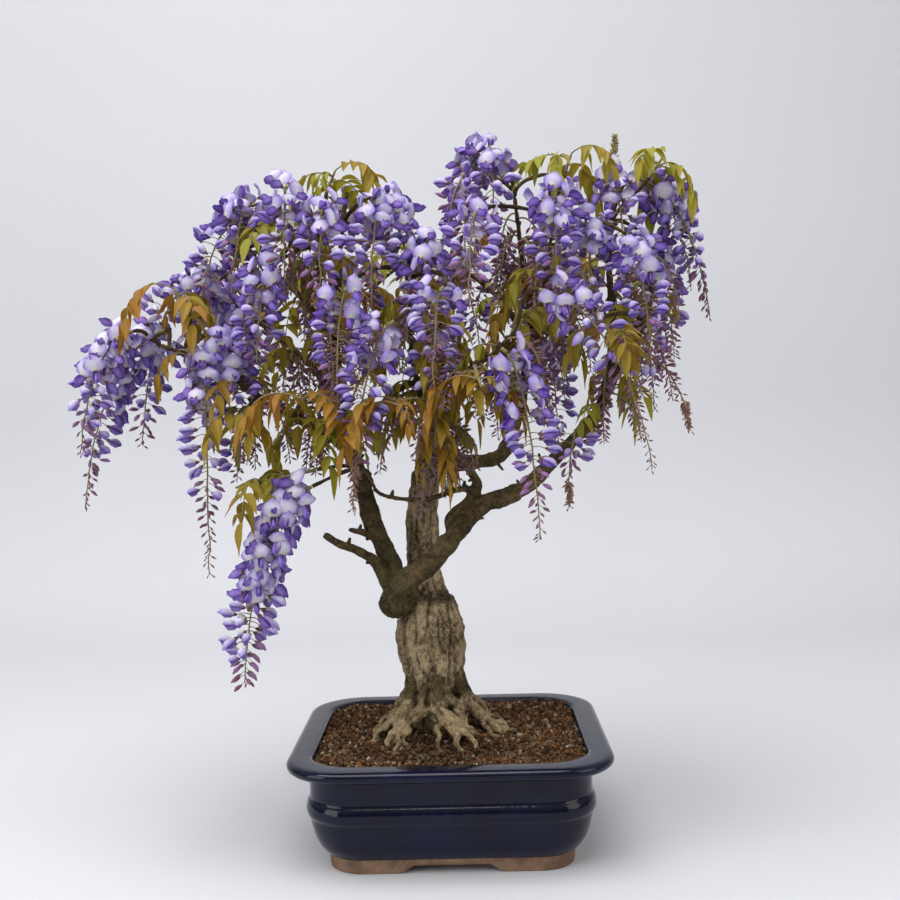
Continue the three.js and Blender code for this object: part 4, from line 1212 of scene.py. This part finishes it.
def leaf(parts, root, heading, size, tint, droop):
    """A compound leaf. Its leaflets hang in pairs, folded a little along their ribs."""
    reach = (LEAF["stalk"] + LEAF["rachis"]) * size
    headings = [heading + extra for extra in (0, 0.7, -0.7, 1.4, -1.4, 2.1, -2.1, 2.8)]
    ways = [np.array([math.cos(a), math.sin(a), 0]) for a in headings]
    out = next((way for way in ways if inside(root + way * (reach + LEAF["length"] * size), 2)), ways[-1])
    path = bezier(root, root + out * 0.35 * reach + (0, 0, 0.2 * reach),
                  root + out * 0.8 * reach + (0, 0, 0.1 * reach),
                  root + out * 0.92 * reach - (0, 0, droop * reach), 26)
    parts.add(*tube(path[::2], np.linspace(0.9, 0.45, len(path[::2])), 4), STEM, (0, 0.5, 0.5 * tint))
    along = frames(path)[0]
    pairs = LEAF["pairs"] - (size < 0.72)
    hang = rng.uniform(0.15, 0.95)
    for i in range(pairs):
        k = part_way(path, mix(0.3, 0.9, i / (pairs - 1)))
        grow = size * mix(0.75, 1, math.sin(math.pi * (0.25 + 0.6 * i / pairs)))
        for hand in (-1, 1):
            side = unit(np.cross(along[k], (0, 0, 1))) * hand
            towards = side * (1 - 0.45 * hang) + along[k] * 0.5 - (0, 0, hang) + rng.normal(0, 0.3, 3)
            big, own_tint = grow * rng.uniform(0.8, 1.05), tint + rng.normal(0, 0.1)
            leaflet(parts, path[k], towards, big, own_tint, hand * 0.3)
    leaflet(parts, path[-1], along[-1] + rng.normal(0, 0.1, 3), size * 1.05, tint, 0)


def shoot_pieces(skins):
    for k, (at, tip) in enumerate(SHOOTS):
        parts = Parts()
        stem = even(np.array([at + unit(tip - at) * STEM_GAP, tip]), 8)
        parts.add(*tube(stem, np.linspace(TWIG_END, 1.1, 8), 7), STEM, (0, 0.5, 0.3))
        tint = rng.uniform(0.05, 0.95) * (0.4 if tip[2] > 620 else 1)
        for i in range(5):
            root = mix(at, tip, mix(0.4, 0.98, (i % 3) / 2))
            heading = i * GOLDEN + tip[0] * 0.05
            size = rng.uniform(0.8, 1.05) if i < 3 else rng.uniform(0.45, 0.7)
            bronze = np.clip(tint + rng.normal(0, 0.2), 0, 1)
            leaf(parts, root, heading, size, bronze, rng.uniform(0.15, 0.75))
        place(f"leaves_{k + 1:02d}", parts, skins, [f"leafy_shoot_{k + 1:02d}"])


# ---- short side sprays ---------------------------------------------------------------------------
# Inside the crown each bough also bears short sprays of unopened buds, and single leaves. How many of
# each, and between which shares of the bough's length.
SIDE_SPRAYS = {
    "crown": (18, 12, 0.3, 0.99), "right": (10, 6, 0.6, 0.97), "left": (14, 14, 0.4, 0.97),
    "inner": (14, 18, 0.35, 0.97), "back": (18, 14, 0.5, 1.0), "arm": (7, 9, 0.25, 0.9),
    "arm_back": (5, 4, 0.3, 0.95), "shoulder": (6, 3, 0.2, 0.97),
    "front": (6, 4, 0.2, 0.97), "outer": (6, 2, 0.3, 0.97), "rear_right": (5, 4, 0.2, 0.95),
    "rear": (5, 4, 0.2, 0.95), "rear_left": (5, 4, 0.2, 0.95), "centre": (10, 6, 0.15, 0.99),
    "apron": (7, 9, 0.1, 0.97),
}
# Old flower stems that hang bare under the crown.
BARE_STEMS = {"left": 9, "inner": 8, "crown": 6, "back": 4}


def hanging(root, heading, reach, rise, drop, count):
    """A path that leaves a bough sideways, rises a little and then hangs."""
    out = np.array([math.cos(heading), math.sin(heading), 0])
    return bezier(root, root + out * 0.5 * reach + (0, 0, rise),
                  root + out * 0.9 * reach - (0, 0, 0.3 * drop), root + out * reach - (0, 0, drop), count)


def bare_stem(parts, root, heading, reach, drop):
    path = hanging(root, heading, reach, 6, drop, 12)
    parts.add(*tube(path, np.linspace(0.9, 0.4, 12), 4), STEM, (0, 0.5, rng.uniform(0, 0.6)))


def bud_spray(parts, root, heading, reach, drop):
    path = hanging(root, heading, reach, 8, drop, 30)
    parts.add(*tube(path, np.linspace(1.2, 0.45, 30), 5), STEM, (0, 0.5, rng.uniform(0.1, 0.7)))
    along, side, over = frames(path)
    count = int(lengths(path)[-1] / 2.6)
    plum = rng.uniform(0.45, 1.1)
    for i in range(count):
        t = mix(0.25, 0.99, i / count)
        k = part_way(path, t)
        way = round_about(side[k], over[k], i * GOLDEN + rng.normal(0, 0.3)) + along[k] * 0.4
        kind = "bud" if t < 0.5 and plum < 0.65 else "young"
        tint = np.clip(plum + rng.normal(0, 0.15), 0, 1)
        floret(parts, path[k], way, kind, mix(0.85, 0.45, t), mix(7, 3, t), tint)


def side_spray_pieces(skins):
    for name, (sprays, leaves, low_share, high_share) in SIDE_SPRAYS.items():
        path = catmull(BOUGHS[name][0], 80)
        parts = Parts()
        for i in range(sprays + leaves):
            root = path[part_way(path, mix(low_share, high_share, rng.uniform()))]
            heading = i * GOLDEN + len(name) + rng.normal(0, 0.3)
            if i < sprays:
                bud_spray(parts, root, heading, rng.uniform(22, 46), rng.uniform(35, 85))
            else:
                leaf(parts, root, heading, rng.uniform(0.5, 0.95), rng.uniform(0, 1), rng.uniform(0.1, 0.9))
        place(f"side_sprays_{name}", parts, skins, ())
    bare = Parts()
    for name, count in BARE_STEMS.items():
        path = catmull(BOUGHS[name][0], 80)
        for i in range(count):
            root = path[part_way(path, rng.uniform(0.35, 0.95))]
            bare_stem(bare, root, i * GOLDEN, rng.uniform(12, 34), rng.uniform(8, 40))
    place("bare_stems", bare, skins, ())


# ---- the object ----------------------------------------------------------------------------------
pot_piece()
bark_skin = bark()
wood = tree_piece(bark_skin)
twigs_piece(bark_skin)
grains_piece(wood)
skins = flower_skins()
raceme_pieces(skins)
shoot_pieces(skins)
side_spray_pieces(skins)
for node, own in (("drain_net_left", net()), ("drain_net_right", net()), ("soil", earth())):
    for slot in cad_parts[node].material_slots:
        slot.material = own


# ---- stage, light and camera ---------------------------------------------------------------------
def stage():
    """A plain pale floor that curves up into the backdrop."""
    n = Nodes("paper")
    cloud = n.noise(n.place(), 2.0, 2.0)
    paper = n.finish(Base_Color=n.colour(cloud, (0.54, 0.545, 0.57), (0.57, 0.575, 0.6)),
                     Roughness=0.9, Specular_IOR_Level=0.1)
    run = rounded([(-2500, 0, 0), (1500, 0, 500), (1500, 2600, 0)], 24)
    points = np.array([(x, y, z) for y, z in run for x in (-4000, 4000)], float) * MM
    mesh = bpy.data.meshes.new("floor")
    mesh.from_pydata(points.tolist(), [], grid(len(run), 2)[:, ::-1].tolist())
    mesh.materials.append(paper)
    mesh.polygons.foreach_set("use_smooth", np.ones(len(mesh.polygons), bool))
    made = link("floor", mesh)


def area_light(name, at, size, power, colour):
    """A soft light that faces the middle of the object, in metres."""
    data = bpy.data.lights.new(name, "AREA")
    data.shape, data.size, data.size_y = "RECTANGLE", *size
    data.energy, data.color = power, colour
    made = link(name, data)
    made.location = at
    made.rotation_euler = (Vector((0, 0, 0.4)) - Vector(at)).to_track_quat("-Z", "Y").to_euler()


def camera():
    data = bpy.data.cameras.new("camera")
    data.lens, data.sensor_width = CAMERA["focal"], SENSOR
    made = link("camera", data)
    made.location = Vector(np.array(CAMERA["at"]) * MM + POT_CENTRE)
    look = Euler((math.radians(90 - CAMERA["down"]), 0, math.radians(CAMERA["left"]))).to_matrix()
    roll = Euler((0, 0, math.radians(CAMERA["roll"]))).to_matrix()
    made.rotation_euler = (look @ roll).to_euler()
    bpy.context.scene.camera = made


stage()
camera()
area_light("sky", (-0.4, -0.6, 2.6), (2.4, 2.0), 76, (1, 0.99, 0.97))
area_light("fill_left", (-2.2, -1.6, 1.0), (1.6, 2.0), 32, (0.95, 0.97, 1))
area_light("fill_right", (2.2, -1.2, 1.2), (1.4, 2.0), 20, (1, 0.98, 0.95))
world = bpy.data.worlds.new("world")
world.use_nodes = True
sky = world.node_tree
upwards = sky.nodes.new("ShaderNodeSeparateXYZ")
sky.links.new(sky.nodes.new("ShaderNodeTexCoord").outputs["Generated"], upwards.inputs[0])
ramp = sky.nodes.new("ShaderNodeValToRGB")
set_stops(ramp, [(0.0, (0.2, 0.2, 0.21)), (0.6, (0.95, 0.97, 1))])
sky.links.new(upwards.outputs[2], ramp.inputs[0])
sky.links.new(ramp.outputs[0], sky.nodes["Background"].inputs[0])
sky.nodes["Background"].inputs[1].default_value = 0.6
scene = bpy.context.scene
scene.world = world
scene.view_settings.view_transform = "Standard"
scene.view_settings.exposure = 0.0
